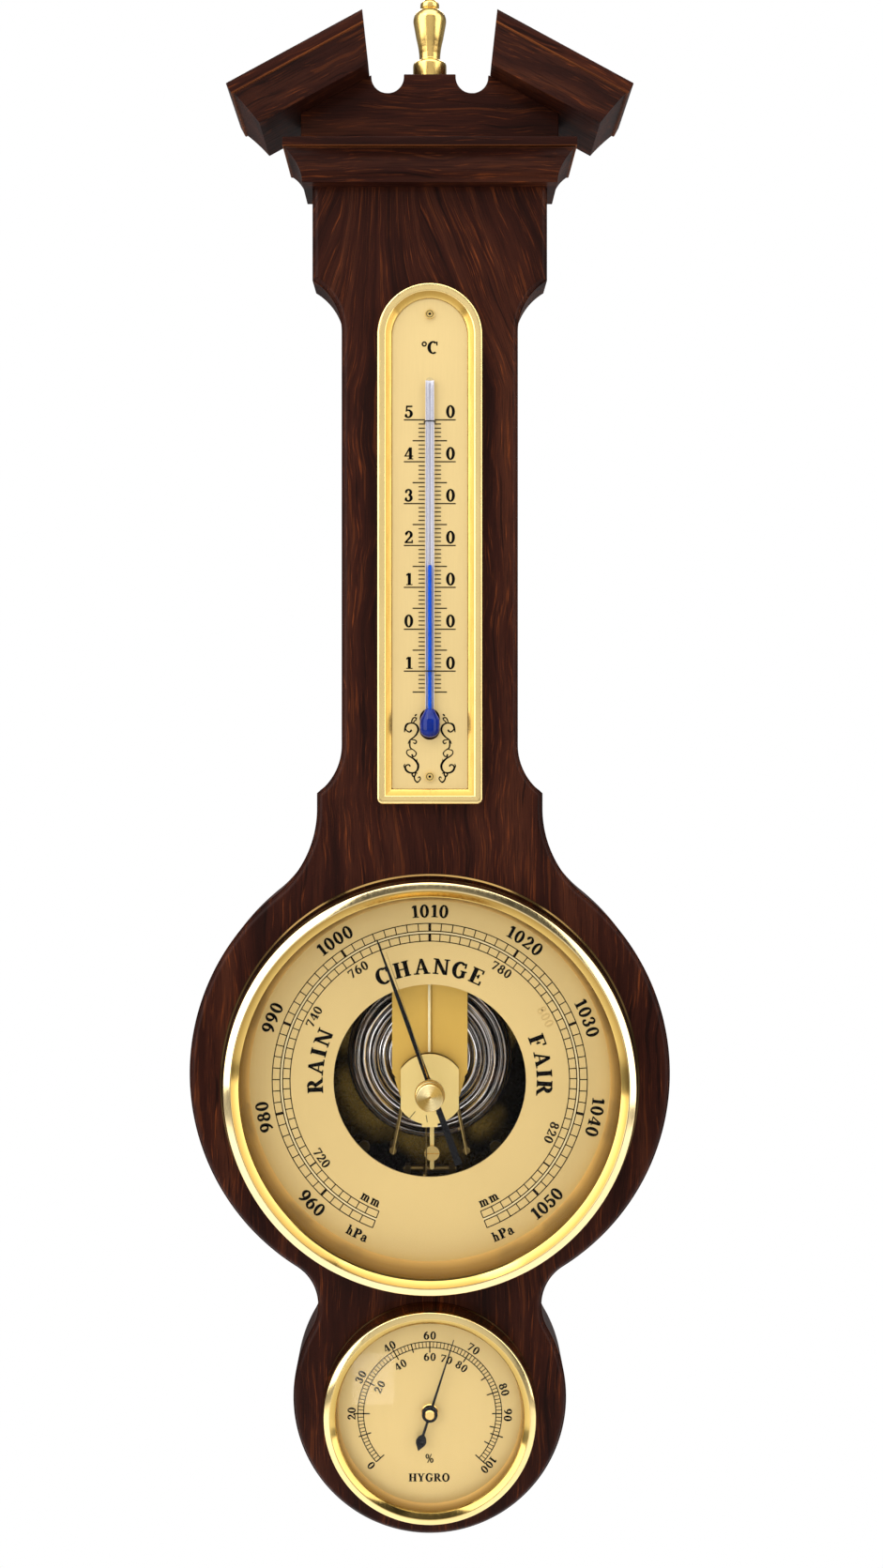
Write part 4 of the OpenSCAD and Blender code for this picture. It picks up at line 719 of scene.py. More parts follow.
def level_faces(count):
    """Faces round so many levels of four corners, closed beneath and above."""
    n = 4
    return [*grid_faces(count, n, False, True), tuple(range(n)), tuple(range((count - 1) * n, count * n))]


def make_cornice():
    """The horizontal cornice: its moulding returns at both ends, so each level is a strip round three
    sides."""
    front_reach, side_reach, cove = 9.5, 5.2, 9.7
    bows = full_bow(front_reach, cove), full_bow(side_reach, cove)
    levels = moulding(30.5, front_reach, 45.0, side_reach, cove, 3.4, 0.9, bows)
    up, f, s = levels.T
    loop = level_corners(-s, s, f)
    z = np.broadcast_to((FRIEZE_TOP + up)[:, None], loop.shape[:2])
    pts = np.stack((loop[..., 0], loop[..., 1], z), -1)
    faces = level_faces(len(levels))
    cornice = build("cornice_moulding", pts, faces, WOOD_ACROSS, slot="case_wood", sharp=24, bevel=0.12)
    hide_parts("cornice")


RAKE_OUT, RAKE_Z, RAKE_LEN, RAKE_LEAN = 59.0, 31.3, 42.9, 22.0


def make_rake(name, node, mirror, material):
    """A raking cornice: the moulding returns at the lower end, the upper end leans, and the whole is laid on
    the slope of the pediment."""
    levels = moulding(41.0, 9.0, 0.0, 3.4, 10.3, 4.1, 0.9, (0.5, 0.25))
    up, f, s = levels.T
    loop = level_corners(-s, RAKE_LEN + up * math.tan(math.radians(RAKE_LEAN)), f)
    a = math.radians(RAKE_SLOPE)
    u, v = loop[..., 0], np.broadcast_to(up[:, None], loop.shape[:2])
    x = -RAKE_OUT + u * math.cos(a) - v * math.sin(a)
    z = RAKE_Z + u * math.sin(a) + v * math.cos(a)
    pts = np.stack((x * mirror, loop[..., 1], z), -1)
    rake = build(name, pts, level_faces(len(levels)), material, slot="case_wood", sharp=24, bevel=0.12)
    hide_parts(node)


def make_tympanum():
    """The board between the rakes, with its platform and a round notch on each side."""
    half, foot, notch_x, notch_r = 45.5, 26.7, 14.9, 5.75
    back, front = 6.0, 28.0
    slope = math.tan(math.radians(RAKE_SLOPE))
    under_rake = [(x, RAKE_Z + (RAKE_OUT - x) * slope) for x in (half, notch_x + notch_r)]
    right = np.vstack(([(half, foot)], under_rake, arc(notch_x, PLATFORM - 0.9, notch_r, 0, -180, 0.4),
                       [(notch_x - notch_r, PLATFORM)]))
    loop = np.vstack((right, right[::-1] * (-1, 1)))
    pts, faces = joined([filled([loop], front), filled([loop], back), wall(loop, back, front)])
    board = build("tympanum_board", pts, faces, WOOD_ACROSS, slot="case_wood", sharp=30, bevel=0.3)
    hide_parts("tympanum")


def make_finial():
    """The turned finial: foot with a round shoulder, bead, long neck that swells into the vase, and
    button."""
    a = np.radians(np.linspace(-12, 52, 12))
    belly = np.column_stack((1.2 + 4.7 * np.cos(a), 22.3 + 4.7 * np.sin(a)))
    low = fillet([(0, 0), (5.85, 0, 0.2), (6.0, 0.3, 0.2), (6.0, 7.5, 2.4), (3.3, 7.5, 0.1),
                  (3.85, 7.65, 0.3), (3.85, 8.5, 0.3), (3.68, 8.6, 0.1), (3.8, 10.45, 5), (4.05, 12.45, 8),
                  (4.4, 14.25, 8), (4.85, 16.15, 8)], closed=False)
    high = fillet([(3.35, 26.3), (2.9, 26.35, 0.1), (3.05, 26.55, 0.2), (3.4, 27.1, 0.5), (3.35, 28.6, 1.2),
                   (2.2, 29.95, 1.5), (0.9, 30.2, 1), (0, 30.2)], closed=False)
    outline = np.vstack((low, belly, high))
    piece = upright("finial_turning", outline, FINIAL, 17, PLATFORM, slot="polished_brass", sharp=50)
    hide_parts("finial")


# Thermometer

FRAME_HALF, FRAME_ARCH, FRAME_LOW, FRAME_BAND = 18.7, -39.6, -205.5, 5.3
FRAME_T, PLATE_T = 3.4, 0.8
# Painted reflections on the frame: its top bright, its inner slope dark
FRAME_BRASS = brass_with_painted_reflections("frame_brass", (0, FRAME_ARCH), [
    (13.4, (0.62, 0.42, 0.13)), (14.4, (0.42, 0.26, 0.06)), (15.6, (0.34, 0.20, 0.045)),
    (15.95, (1.0, 0.75, 0.32)), (18.2, (1.0, 0.75, 0.32)), (18.7, (0.6, 0.4, 0.13))],
    rough=0.2, foot=FRAME_LOW + FRAME_HALF)


def make_frame():
    """The brass frame: a rounded section carried down one side, along the foot, up the other and over the
    arch."""
    corner = 2.2
    half, low = FRAME_HALF, FRAME_LOW
    path = np.vstack((arc(0, FRAME_ARCH, half, 0, 180, 0.8),
                      arc(-half + corner, low + corner, corner, 180, 270, 0.4),
                      arc(half - corner, low + corner, corner, 270, 360, 0.4)))
    top = BOARD + FRAME_T
    section = fillet([(0, BOARD), (0, top - 0.2, 0.9), (1.3, top, 1.6), (FRAME_BAND * 0.52, top - 0.1, 0.8),
                      (FRAME_BAND - 0.25, BOARD + 1.45, 0.35), (FRAME_BAND, BOARD + 1.2, 0.2),
                      (FRAME_BAND, BOARD)], closed=False)
    section = np.vstack((section, section[:1]))
    pts, faces = swept(path, section, closed=True)
    piece = build("thermometer_bezel", pts, faces, FRAME_BRASS, slot="polished_brass", sharp=40)
    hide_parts("thermometer_frame")


TUBE_H = BOARD + PLATE_T + 1.65
TUBE_TOP, TUBE_BULB = -54.4, -177.2


def make_tube():
    """The glass tube with a closed round top and a long bulb, the spirit inside it, the empty bore above
    that, and the milk glass along the tube's back. Heights count from the bulb's middle."""
    glass_r, bulb_r, half, top = 1.6, 3.5, 5.0, TUBE_TOP - TUBE_BULB

    def bulb(r, rb, hb):
        """A round foot, straight sides and a slanting shoulder up to radius r."""
        a = np.radians(np.linspace(-90, 0, 9))
        low = np.column_stack((rb * np.cos(a), -hb + 0.85 * rb * (1 + np.sin(a))))
        high = fillet([(rb, -hb + rb), (rb, hb - 3.1, 2.0), (r + 0.25, hb - 0.1, 0.4), (r, hb + 0.5)],
                      closed=False)
        return np.vstack((low, high))

    a = np.radians(np.linspace(0, 90, 7))
    glass_end = np.column_stack((glass_r * np.cos(a), top - glass_r + glass_r * np.sin(a)))
    tube = np.vstack(([[glass_r, half - 0.2]], glass_end))
    glass = upright("thermometer_glass", tube, TUBE_GLASS, TUBE_H, TUBE_BULB, steps=48,
                    slot="clear_glass", sharp=60)
    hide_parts("thermometer_tube")
    flask_side = np.vstack((bulb(glass_r, bulb_r, half - 0.2), [[0, half + 0.3]]))
    flask = upright("thermometer_bulb", flask_side, BULB_GLASS, TUBE_H, TUBE_BULB, steps=48,
                    slot="clear_glass", sharp=60)
    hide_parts("thermometer_tube")
    column = np.array([[0, half - 1], [0.66, half - 1], [0.66, 55.9], [0.5, 56.3], [0, 56.4]])
    spirit = upright("spirit_column", column, SPIRIT, TUBE_H, TUBE_BULB, steps=32,
                     slot="blue_spirit", sharp=60)
    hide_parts("thermometer_liquid")
    a = np.radians(np.linspace(95, 265, 15))
    back = 1.42 * np.column_stack((np.sin(a), np.cos(a)))
    rows = np.array([[x, TUBE_H + y, TUBE_BULB + up] for up in (half + 0.4, top - 1.0) for x, y in back])
    build("tube_milk_backing", rows, grid_faces(2, len(back)), MILK, thicken=0.12)
    bore = np.array([[0, 56.5], [0.3, 56.5], [0.3, top - 2.2], [0, top - 2.0]])
    upright("tube_bore", bore, BORE, TUBE_H, TUBE_BULB, slot="clear_glass", sharp=60, steps=16)


# Turned parts of the instruments


def bezel_profile(r, foot, lip, front, glass_front, glass_r, rebate, rebate_h, bevel, fall, slant):
    """The section of a bezel about r in radius: a foot on the board that spreads outwards by foot, a side
    that rises to a front band, which slants down by slant to the outside, and within the band a bevel that
    reaches in to r - lip and down by fall. Behind the glass it widens to the rebate that sits over the
    housing's flange."""
    base = BOARD
    return fillet([(r + foot, base), (r + foot, base + 0.8, 0.3), (r + foot * 0.62, base + 1.5, 0.8),
                   (r + foot * 0.25, base + (front - base) * 0.45, 6), (r + 0.25, front - slant - 0.9, 1.5),
                   (r - 0.1, front - slant, 0.5), (r - lip + bevel, front, 0.5),
                   (r - lip, front - fall, 0.15), (r - lip - 0.3, glass_front + 0.02),
                   (glass_r, glass_front + 0.02), (glass_r, base + rebate_h), (rebate, base + rebate_h),
                   (rebate, base)])


def disc_profile(hole, r, back, thick):
    """The section of a flat disc with a round hole."""
    return [(hole, back), (r, back), (r, back + thick), (hole, back + thick)]


def make_instrument_rings():
    """Bezels, the bevelled rings between dial and glass, and the glasses."""
    front, play = BEZEL_FRONT, 0.02
    profile = bezel_profile(72.4, foot=2.1, lip=5.0, front=front, glass_front=front - 2.1, glass_r=68.4,
                            rebate=73.3, rebate_h=1.1, bevel=2.4, fall=1.9, slant=1.15)
    bezel = turned("barometer_bezel_ring", profile, BEZEL_BRASS, z=BARO_Z, steps=256,
                   slot="polished_brass", sharp=50)
    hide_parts("barometer_bezel")
    back = front - 3.9
    profile = fillet([(64.5, DIAL_H), (67.85, DIAL_H), (67.85, back - play), (67.2, back - play, 0.1),
                      (64.6, DIAL_H + 0.45, 0.3)])
    bevel = turned("barometer_inner_bevel", profile, BRASS_BEVEL, z=BARO_Z, steps=256,
                   slot="polished_brass", sharp=50)
    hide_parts("dial_reflector")
    glass = turned("barometer_glass_disc", disc_profile(1.9, 68.3, back, 1.8), GLASS, z=BARO_Z,
                   slot="clear_glass", sharp=50)
    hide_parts("barometer_glass")
    back = HYGRO_FRONT - 3.2
    profile = bezel_profile(37.2, foot=0.8, lip=3.9, front=HYGRO_FRONT, glass_front=back + 1.42, glass_r=34.3,
                            rebate=36.7, rebate_h=0.9, bevel=1.8, fall=1.3, slant=0.75)
    ring_piece = turned("hygrometer_bezel_ring", profile, HYGRO_BRASS, z=HYGRO_Z,
                        slot="polished_brass", sharp=50)
    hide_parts("hygrometer_bezel")
    profile = fillet([(32.3, HYGRO_DIAL_H), (34.2, HYGRO_DIAL_H), (34.2, back - play),
                      (33.6, back - play, 0.1), (32.4, HYGRO_DIAL_H + 0.3, 0.2)])
    spacer = turned("hygrometer_inner_bevel", profile, HYGRO_BEVEL, z=HYGRO_Z,
                    slot="polished_brass", sharp=50)
    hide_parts("hygrometer_reflector")
    pane = turned("hygrometer_glass_disc", disc_profile(0, 34.2, back, 1.4), GLASS, z=HYGRO_Z, closed=False,
                  slot="clear_glass", sharp=50)
    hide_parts("hygrometer_glass")


def make_dials():
    """Both dial plates, the upper one with its round opening."""
    thick = 0.8
    profile = fillet([(34.4, DIAL_H - thick), (68.3, DIAL_H - thick), (68.3, DIAL_H), (34.4, DIAL_H, 0.12)])
    face = turned("barometer_dial_plate", profile, DIAL, z=BARO_Z, steps=256, slot="satin_brass", sharp=40)
    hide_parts("barometer_dial")
    thick = 0.7
    profile = disc_profile(0.8, 34.2, HYGRO_DIAL_H - thick, thick)
    low = turned("hygrometer_dial_plate", profile, HYGRO_DIAL, z=HYGRO_Z, slot="satin_brass", sharp=40)
    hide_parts("hygrometer_dial")


def make_capsule():
    """The pressed capsule: rings whose height follows a cosine of the radius, mirrored about its middle."""
    mid, half, boss_r, boss_half, depth, rings = 8.0, 2.85, 5.0, 3.9, 0.6, 6
    r = np.linspace(boss_r + 0.6, CAPS_R - 2.2, 20 * rings + 1)
    crest = half + depth * np.cos(2 * math.pi * rings * (r - r[0]) / (r[-1] - r[0]))
    upper = np.vstack(([[0, boss_half], [boss_r - 0.3, boss_half], [boss_r, boss_half - 0.3],
                        [boss_r, half + depth]],
                       np.column_stack((r, crest)),
                       [[CAPS_R - 1.6, 0.9], [CAPS_R - 1.3, 0.6], [CAPS_R - 0.2, 0.6], [CAPS_R, 0.4]]))
    profile = np.vstack((upper, upper[::-1] * (1, -1))) + (0, mid)
    piece = turned("capsule_pressing", profile, NICKEL, z=CAPS_Z, closed=False, steps=160,
                   slot="capsule_metal", sharp=50)
    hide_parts("capsule")


def make_knob():
    """The set knob: spindle through the glass, neck, flange, groove and dished face."""
    front = BEZEL_FRONT + 13.6
    neck = BEZEL_FRONT - 2.1 + 0.4
    profile = fillet([(0, SET_HAND_H), (1.6, SET_HAND_H), (1.6, neck), (3.4, neck, 0.2),
                      (3.4, front - 6.5, 0.4), (5.25, front - 6.1, 0.4), (5.25, front - 4.2, 0.4),
                      (4.25, front - 3.9, 0.2), (4.25, front - 3.2, 0.2), (4.75, front - 2.9, 0.3),
                      (4.75, front - 0.4, 0.35), (4.4, front, 0.15), (0.5, front - 0.9, 0.1),
                      (0.25, front - 1.25), (0, front - 1.3)],
                     closed=False)
    knob = turned("set_knob_turning", profile, KNOB, z=BARO_Z, closed=False, steps=96, body="set_hand",
                  slot="polished_brass", sharp=32)
    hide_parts("set_knob")


def make_set_hand():
    """The set hand: a ring on the spindle and a slim blade, ground away on the side of the black hand
    beneath it."""
    a, h, hub_thick, blade_thick = math.radians(18.1), SET_HAND_H, 0.4, 0.38
    along, across = np.array((-math.sin(a), math.cos(a))), np.array((math.cos(a), math.sin(a)))
    hub = [ring(r, BARO_Z, 48) for r in (2.3, 1.65)]
    edge = np.array([[0.22, 1.8], [0.05, 49.8], [0.2, 50.0], [0.5, 1.8]])
    blade = edge[:, :1] * across + edge[:, 1:] * along + (0, BARO_Z)
    pieces = [filled(hub, h), filled(hub, h + hub_thick)] + [wall(loop, h, h + hub_thick) for loop in hub]
    pieces += [filled([blade], h), filled([blade], h + blade_thick), wall(blade, h, h + blade_thick)]
    hand = build("set_hand_blade", *joined(pieces), BRASS, body="set_hand", slot="polished_brass")
    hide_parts("set_hand")


# Print


def stroke(left, right):
    """A flat stroke, given by the points of both its edges."""
    return np.array(left, float), np.array(right, float)


def slab(x0, x1, y0, y1):
    """An upright block from (x0, y0) to (x1, y1)."""
    return stroke([(x0, y0), (x0, y1)], [(x1, y0), (x1, y1)])


def stem(x, y0=0.0, y1=1.0, w=0.21):
    """An upright stroke about x."""
    return slab(x - w / 2, x + w / 2, y0, y1)


def serif(x, y=0.0, w=0.38):
    """A hairline serif about x whose lower edge is at y."""
    return slab(x - w / 2, x + w / 2, y, y + 0.085)


def lean(xa, ya, xb, yb, wa, wb=None):
    """A slanting stroke, wa across at its first end and wb at its second."""
    wb = wa if wb is None else wb
    return stroke([(xa - wa / 2, ya), (xb - wb / 2, yb)], [(xa + wa / 2, ya), (xb + wb / 2, yb)])


def bowl(cx, cy, rx, ry, wx=0.2, wy=0.075, a0=0.0, a1=360.0, n=18):
    """Part of an upright ellipse, wx thick at its sides and wy at its top and foot. Angles count from +x."""
    a = np.radians(np.linspace(a0, a1, n))
    c, s = np.cos(a), np.sin(a)
    inside = np.column_stack((cx + (rx - wx) * c, cy + (ry - wy) * s))
    return stroke(inside, np.column_stack((cx + rx * c, cy + ry * s)))


def ball(cx, cy, r=0.1):
    """A round end of a stroke."""
    a = np.radians(np.linspace(10, 170, 6))
    c, s = r * np.cos(a), r * np.sin(a)
    return stroke(np.column_stack((cx + c, cy - s)), np.column_stack((cx + c, cy + s)))


def bold_signs():
    """Signs of a bold book face, one unit from foot to cap: for each its width and its strokes."""
    low, top = serif(0.2), serif(0.2, 0.915)
    six = [bowl(0.36, 0.32, 0.34, 0.335, 0.19), bowl(0.64, 0.36, 0.62, 0.66, 0.19, 0.08, 100, 180, 10)]
    nine = [((0.72, 1.0) - left, (0.72, 1.0) - right) for left, right in six]
    arm = [slab(0.2, 0.72, 0.915, 1), slab(0.67, 0.72, 0.74, 1), slab(0.2, 0.52, 0.475, 0.55),
           slab(0.48, 0.53, 0.38, 0.65)]
    round_c = [bowl(0.47, 0.5, 0.45, 0.52, 0.22, 0.075, 48, 308, 22), slab(0.77, 0.82, 0.67, 1)]
    loop = [slab(0.2, 0.42, 0.915, 1), slab(0.2, 0.42, 0.455, 0.535),
            bowl(0.4, 0.7325, 0.34, 0.2675, 0.21, 0.075, -90, 90, 12)]
    arch = bowl(0.34, 0.42, 0.22, 0.24, 0.14, 0.05, 0, 180, 10)
    return {
        "0": (0.72, [bowl(0.36, 0.5, 0.34, 0.515, 0.185, 0.07, n=22)]),
        "1": (0.56, [stem(0.33, w=0.19), serif(0.33, w=0.46),
                     stroke([(0.07, 0.8), (0.26, 0.86)], [(0.07, 0.86), (0.26, 1)])]),
        "2": (0.72, [bowl(0.36, 0.7, 0.3, 0.315, 0.18, 0.075, -38, 165, 14), ball(0.15, 0.77, 0.09),
                     lean(0.1, 0.08, 0.53, 0.56, 0.12, 0.18), slab(0.05, 0.67, 0, 0.13),
                     slab(0.62, 0.67, 0, 0.27)]),
        "3": (0.7, [bowl(0.33, 0.755, 0.28, 0.26, 0.17, 0.07, -88, 150, 12), ball(0.13, 0.8, 0.09),
                    bowl(0.31, 0.285, 0.34, 0.3, 0.19, 0.075, -150, 88, 14), ball(0.12, 0.2)]),
        "4": (0.72, [stem(0.5, w=0.18), serif(0.5, w=0.4), slab(0.02, 0.7, 0.24, 0.33),
                     lean(0.06, 0.3, 0.46, 1, 0.06, 0.08)]),
        "5": (0.7, [slab(0.16, 0.62, 0.86, 1), lean(0.15, 0.5, 0.19, 0.95, 0.06),
                    bowl(0.31, 0.32, 0.35, 0.335, 0.19, 0.075, -150, 118, 16), ball(0.12, 0.18)]),
        "6": (0.72, six), "9": (0.72, nine),
        "7": (0.7, [slab(0.05, 0.67, 0.86, 1), lean(0.26, 0, 0.62, 0.9, 0.17, 0.08),
                    slab(0.05, 0.1, 0.72, 0.9)]),
        "8": (0.72, [bowl(0.36, 0.755, 0.28, 0.26, 0.16, 0.07), bowl(0.36, 0.28, 0.34, 0.295, 0.18, 0.075)]),
        "A": (0.96, [lean(0.13, 0, 0.47, 1, 0.07, 0.06), lean(0.78, 0, 0.47, 1, 0.21, 0.13),
                     slab(0.24, 0.64, 0.28, 0.365), serif(0.14, w=0.3), serif(0.79, w=0.36)]),
        "C": (0.88, round_c),
        "E": (0.8, [stem(0.2), low, top, *arm, slab(0.2, 0.76, 0, 0.085), slab(0.71, 0.77, 0, 0.28)]),
        "F": (0.76, [stem(0.2), serif(0.2, w=0.42), top, *arm]),
        "G": (0.96, [*round_c, stem(0.74, 0.06, 0.44, 0.18), serif(0.74, 0.42, 0.36)]),
        "H": (0.98, [stem(0.2), stem(0.77), slab(0.2, 0.77, 0.46, 0.545), low, top, serif(0.77),
                     serif(0.77, 0.915)]),
        "I": (0.4, [stem(0.2), low, top]),
        "N": (0.98, [stem(0.16, w=0.07), stem(0.83, w=0.07), lean(0.77, 0, 0.15, 1, 0.2), serif(0.16, w=0.3),
                     serif(0.1, 0.915, 0.22), serif(0.83, 0.915, 0.3)]),
        "O": (0.92, [bowl(0.46, 0.5, 0.45, 0.52, 0.2, n=24)]),
        "P": (0.76, [stem(0.2), serif(0.2, w=0.42), serif(0.16, 0.915, 0.28), *loop]),
        "R": (0.94, [stem(0.2), low, serif(0.16, 0.915, 0.28), *loop, lean(0.8, 0, 0.46, 0.5, 0.22, 0.2),
                     serif(0.85, w=0.2)]),
        "Y": (0.92, [lean(0.45, 0.42, 0.17, 1, 0.19), lean(0.47, 0.42, 0.76, 1, 0.07), stem(0.46, 0, 0.46),
                     serif(0.46, w=0.4), serif(0.17, 0.915, 0.34), serif(0.77, 0.915, 0.28)]),
        "a": (0.6, [stem(0.45, 0, 0.48, 0.15), bowl(0.31, 0.46, 0.215, 0.2, 0.15, 0.045, 0, 160, 10),
                    ball(0.15, 0.49, 0.08), bowl(0.28, 0.17, 0.25, 0.19, 0.14, 0.045, 60, 300, 12),
                    serif(0.53, w=0.14)]),
        "h": (0.72, [stem(0.19, w=0.14), serif(0.14, 0.915, 0.2), serif(0.19, w=0.3), arch,
                     stem(0.49, 0, 0.43, 0.14), serif(0.5, w=0.28)]),
        "m": (1.04, [stem(0.19, 0, 0.66, 0.14), serif(0.15, 0.61, 0.2), serif(0.19, w=0.28), arch,
                     stem(0.49, 0, 0.43, 0.14), serif(0.49, w=0.24), tuple(e + (0.3, 0) for e in arch),
                     stem(0.79, 0, 0.43, 0.14), serif(0.8, w=0.28)]),
        "%": (0.94, [bowl(0.22, 0.74, 0.19, 0.26, 0.09, 0.045, n=14),
                     bowl(0.72, 0.26, 0.19, 0.26, 0.09, 0.045, n=14), lean(0.25, -0.02, 0.69, 1.02, 0.06)]),
        "°": (0.38, [bowl(0.19, 0.81, 0.19, 0.19, 0.06, 0.06, n=16)]),
    }


SIGNS = bold_signs()


def typeset(text, cap, gap=0.12):
    """For each sign of a text cap mm tall: how far its middle is along the line, and its strokes about that,
    each a little wider on both sides than drawn."""
    widths = np.array([SIGNS[c][0] for c in text])
    ends = np.cumsum(widths + gap) - gap
    middles = (ends - widths / 2 - ends[-1] / 2) * cap

    def bold(left, right, shift, by=0.034):
        out = right - left
        out = out / np.linalg.norm(out, axis=1)[:, None] * by
        return (left - out - (shift, 0)) * cap, (right + out - (shift, 0)) * cap

    return [(m, [bold(*st, SIGNS[c][0] / 2) for st in SIGNS[c][1]]) for c, m in zip(text, middles)]


def line_of(text, x, z, cap, gap=0.12):
    """Strokes of a straight line of text about x that stands on z."""
    return [tuple(edge + (x + m, z) for edge in st)
            for m, strokes in typeset(text, cap, gap) for st in strokes]


def round_of(text, z, r, angle, cap, gap=0.12, inward=False):
    """Strokes of a text round a dial about (0, z), at an angle counted clockwise from its top. The text
    stands on radius r and points outwards, or inwards where it is read from below."""
    s = -1 if inward else 1
    out = []
    for m, strokes in typeset(text, cap, gap):
        a = math.radians(angle) + s * m / r
        up, along = np.array((math.sin(a), math.cos(a))), np.array((math.cos(a), -math.sin(a)))
        out += [tuple((0, z) + r * up + s * (edge[:, :1] * along + edge[:, 1:] * up) for edge in st)
                for st in strokes]
    return out


def dial_arc(z, r, w, a0, a1):
    """A line w wide along radius r of a dial about (0, z)."""
    a = np.radians(np.linspace(a0, a1, int(abs(a1 - a0) / 1.5) + 2))
    circle = np.column_stack((np.sin(a), np.cos(a)))
    return (r - w / 2) * circle + (0, z), (r + w / 2) * circle + (0, z)


def dial_tick(z, angle, r0, r1, w):
    """A line w wide along a dial's radius, from r0 to r1."""
    a = math.radians(angle)
    up, side = np.array((math.sin(a), math.cos(a))), np.array((math.cos(a), -math.sin(a))) * w / 2
    ends = np.array((r0 * up, r1 * up)) + (0, z)
    return ends - side, ends + side


def brushed(points, widths, steps=7):
    """A stroke along a smooth (Catmull-Rom) curve through the points, as wide at each as given."""
    p = np.column_stack((np.array(points, float), widths))
    p = np.vstack((2 * p[0] - p[1], p, 2 * p[-1] - p[-2]))
    t = np.linspace(0, 1, steps, endpoint=False)[:, None]
    a, b, c, d = p[:-3, None], p[1:-2, None], p[2:-1, None], p[3:, None]
    curve = 0.5 * (2 * b + (c - a) * t + (2 * a - 5 * b + 4 * c - d) * t**2 + (3 * b - a - 3 * c + d) * t**3)
    curve = np.vstack((curve.reshape(-1, 3), p[-2:-1]))
    side = mitred(curve[:, :2]) * np.maximum(curve[:, 2:], 0.08) / 2
    return curve[:, :2] - side, curve[:, :2] + side


def printed(name, strokes, h, material=INK, thick=0.05):
    """Print on a face at height h: each stroke is a thin closed block."""
    parts = []
    for left, right in strokes:
        whole = np.allclose(left[0], left[-1], atol=1e-6) and np.allclose(right[0], right[-1], atol=1e-6)
        if whole:
            left, right = left[:-1], right[:-1]
        n = len(left)
        flat = np.stack((left, right, right, left))
        level = np.array([h + thick, h + thick, h - 0.01, h - 0.01])[:, None] + 0 * flat[..., 0]
        faces = [tuple(f) for f in grid_faces(4, n, True, whole)]
        if not whole:
            faces += [tuple(k * n for k in range(4)), tuple(k * n + n - 1 for k in range(4))]
        parts.append((np.stack((flat[..., 0], level, flat[..., 1]), -1), faces))
    return build(name, *joined(parts), material, weld=0.0002)


def print_barometer():
    """The double scale, its numbers and the weather's words. Each scale has its radii, the degrees between
    two ticks, and the ticks that are bolder, as counted from the top."""
    z, rim, end, fine = BARO_Z, 56.3, 158.7, 0.34
    rows = ((rim - 2.75, rim, 4.2625, (8, 16, 24, 32), 0.95), (rim - 6.35, rim - 3.75, 4.05, (8, 31), 0.6))
    lines = []
    for low, high, cell, tens, bold in rows:
        lines += [dial_arc(z, r, fine, -end, end) for r in (low, high)]
        lines += [dial_tick(z, side * end, low, high, fine) for side in (-1, 1)]
        last = int((end - 1) / cell)
        for k in range(-last, last + 1):
            width = 1.0 if k == 0 else bold if abs(k) in tens else fine
            lines.append(dial_tick(z, k * cell, low, high, width))
    printed("barometer_scale_lines", lines, DIAL_H, SCALE_LINE)
    # A painted highlight: the pale line between the scale's two rows
    printed("barometer_scale_ridge_painted_highlight", [dial_arc(z, rim - 3.25, 0.3, -end, end)], DIAL_H, PAINTED_HIGHLIGHT_BRASS, 0.06)
    figures = []
    for text, angle in (("1010", 0), ("1020", 34.1), ("1030", 68.2), ("1040", 102.3), ("1000", -34.1),
                        ("990", -68.2), ("980", -102.3)):
        figures += round_of(text, z, rim + 2.2, angle, 4.4)
    for text, angle in (("960", -136), ("1050", 136.4)):
        figures += round_of(text, z, rim + 6.6, angle, 4.4, inward=True)
    for side in (-1, 1):
        figures += round_of("hPa", z, 62.1, side * 154.5, 3.5, 0.1, True)
        figures += round_of("mm", z, 48.9, side * 153.6, 3.5, 0.1, True)
    printed("barometer_figures", figures, DIAL_H)
    words = []
    for word, angles in (("CHANGE", (-24.2, -14.1, -4.1, 5.8, 15.2, 24.2)),
                         ("RAIN", (-92.3, -83, -75.6, -67.8)), ("FAIR", (69.8, 79, 86.3, 93.6))):
        for sign, angle in zip(word, angles):
            words += round_of(sign, z, 38.2, angle, 5.6)
    printed("barometer_words", words, DIAL_H)
    faint = []
    for text, angle in (("760", -32.8), ("780", 32.8), ("740", -61), ("820", 113)):
        faint += round_of(text, z, 45.8, angle, 3.1)
    faint += round_of("720", z, 49.0, -125.5, 3.1, inward=True)
    printed("barometer_inner_figures", faint, DIAL_H, WORN_INK)
    printed("barometer_rubbed_figure", round_of("800", z, 45.8, 61, 3.1), DIAL_H, RUBBED_INK, 0.03)


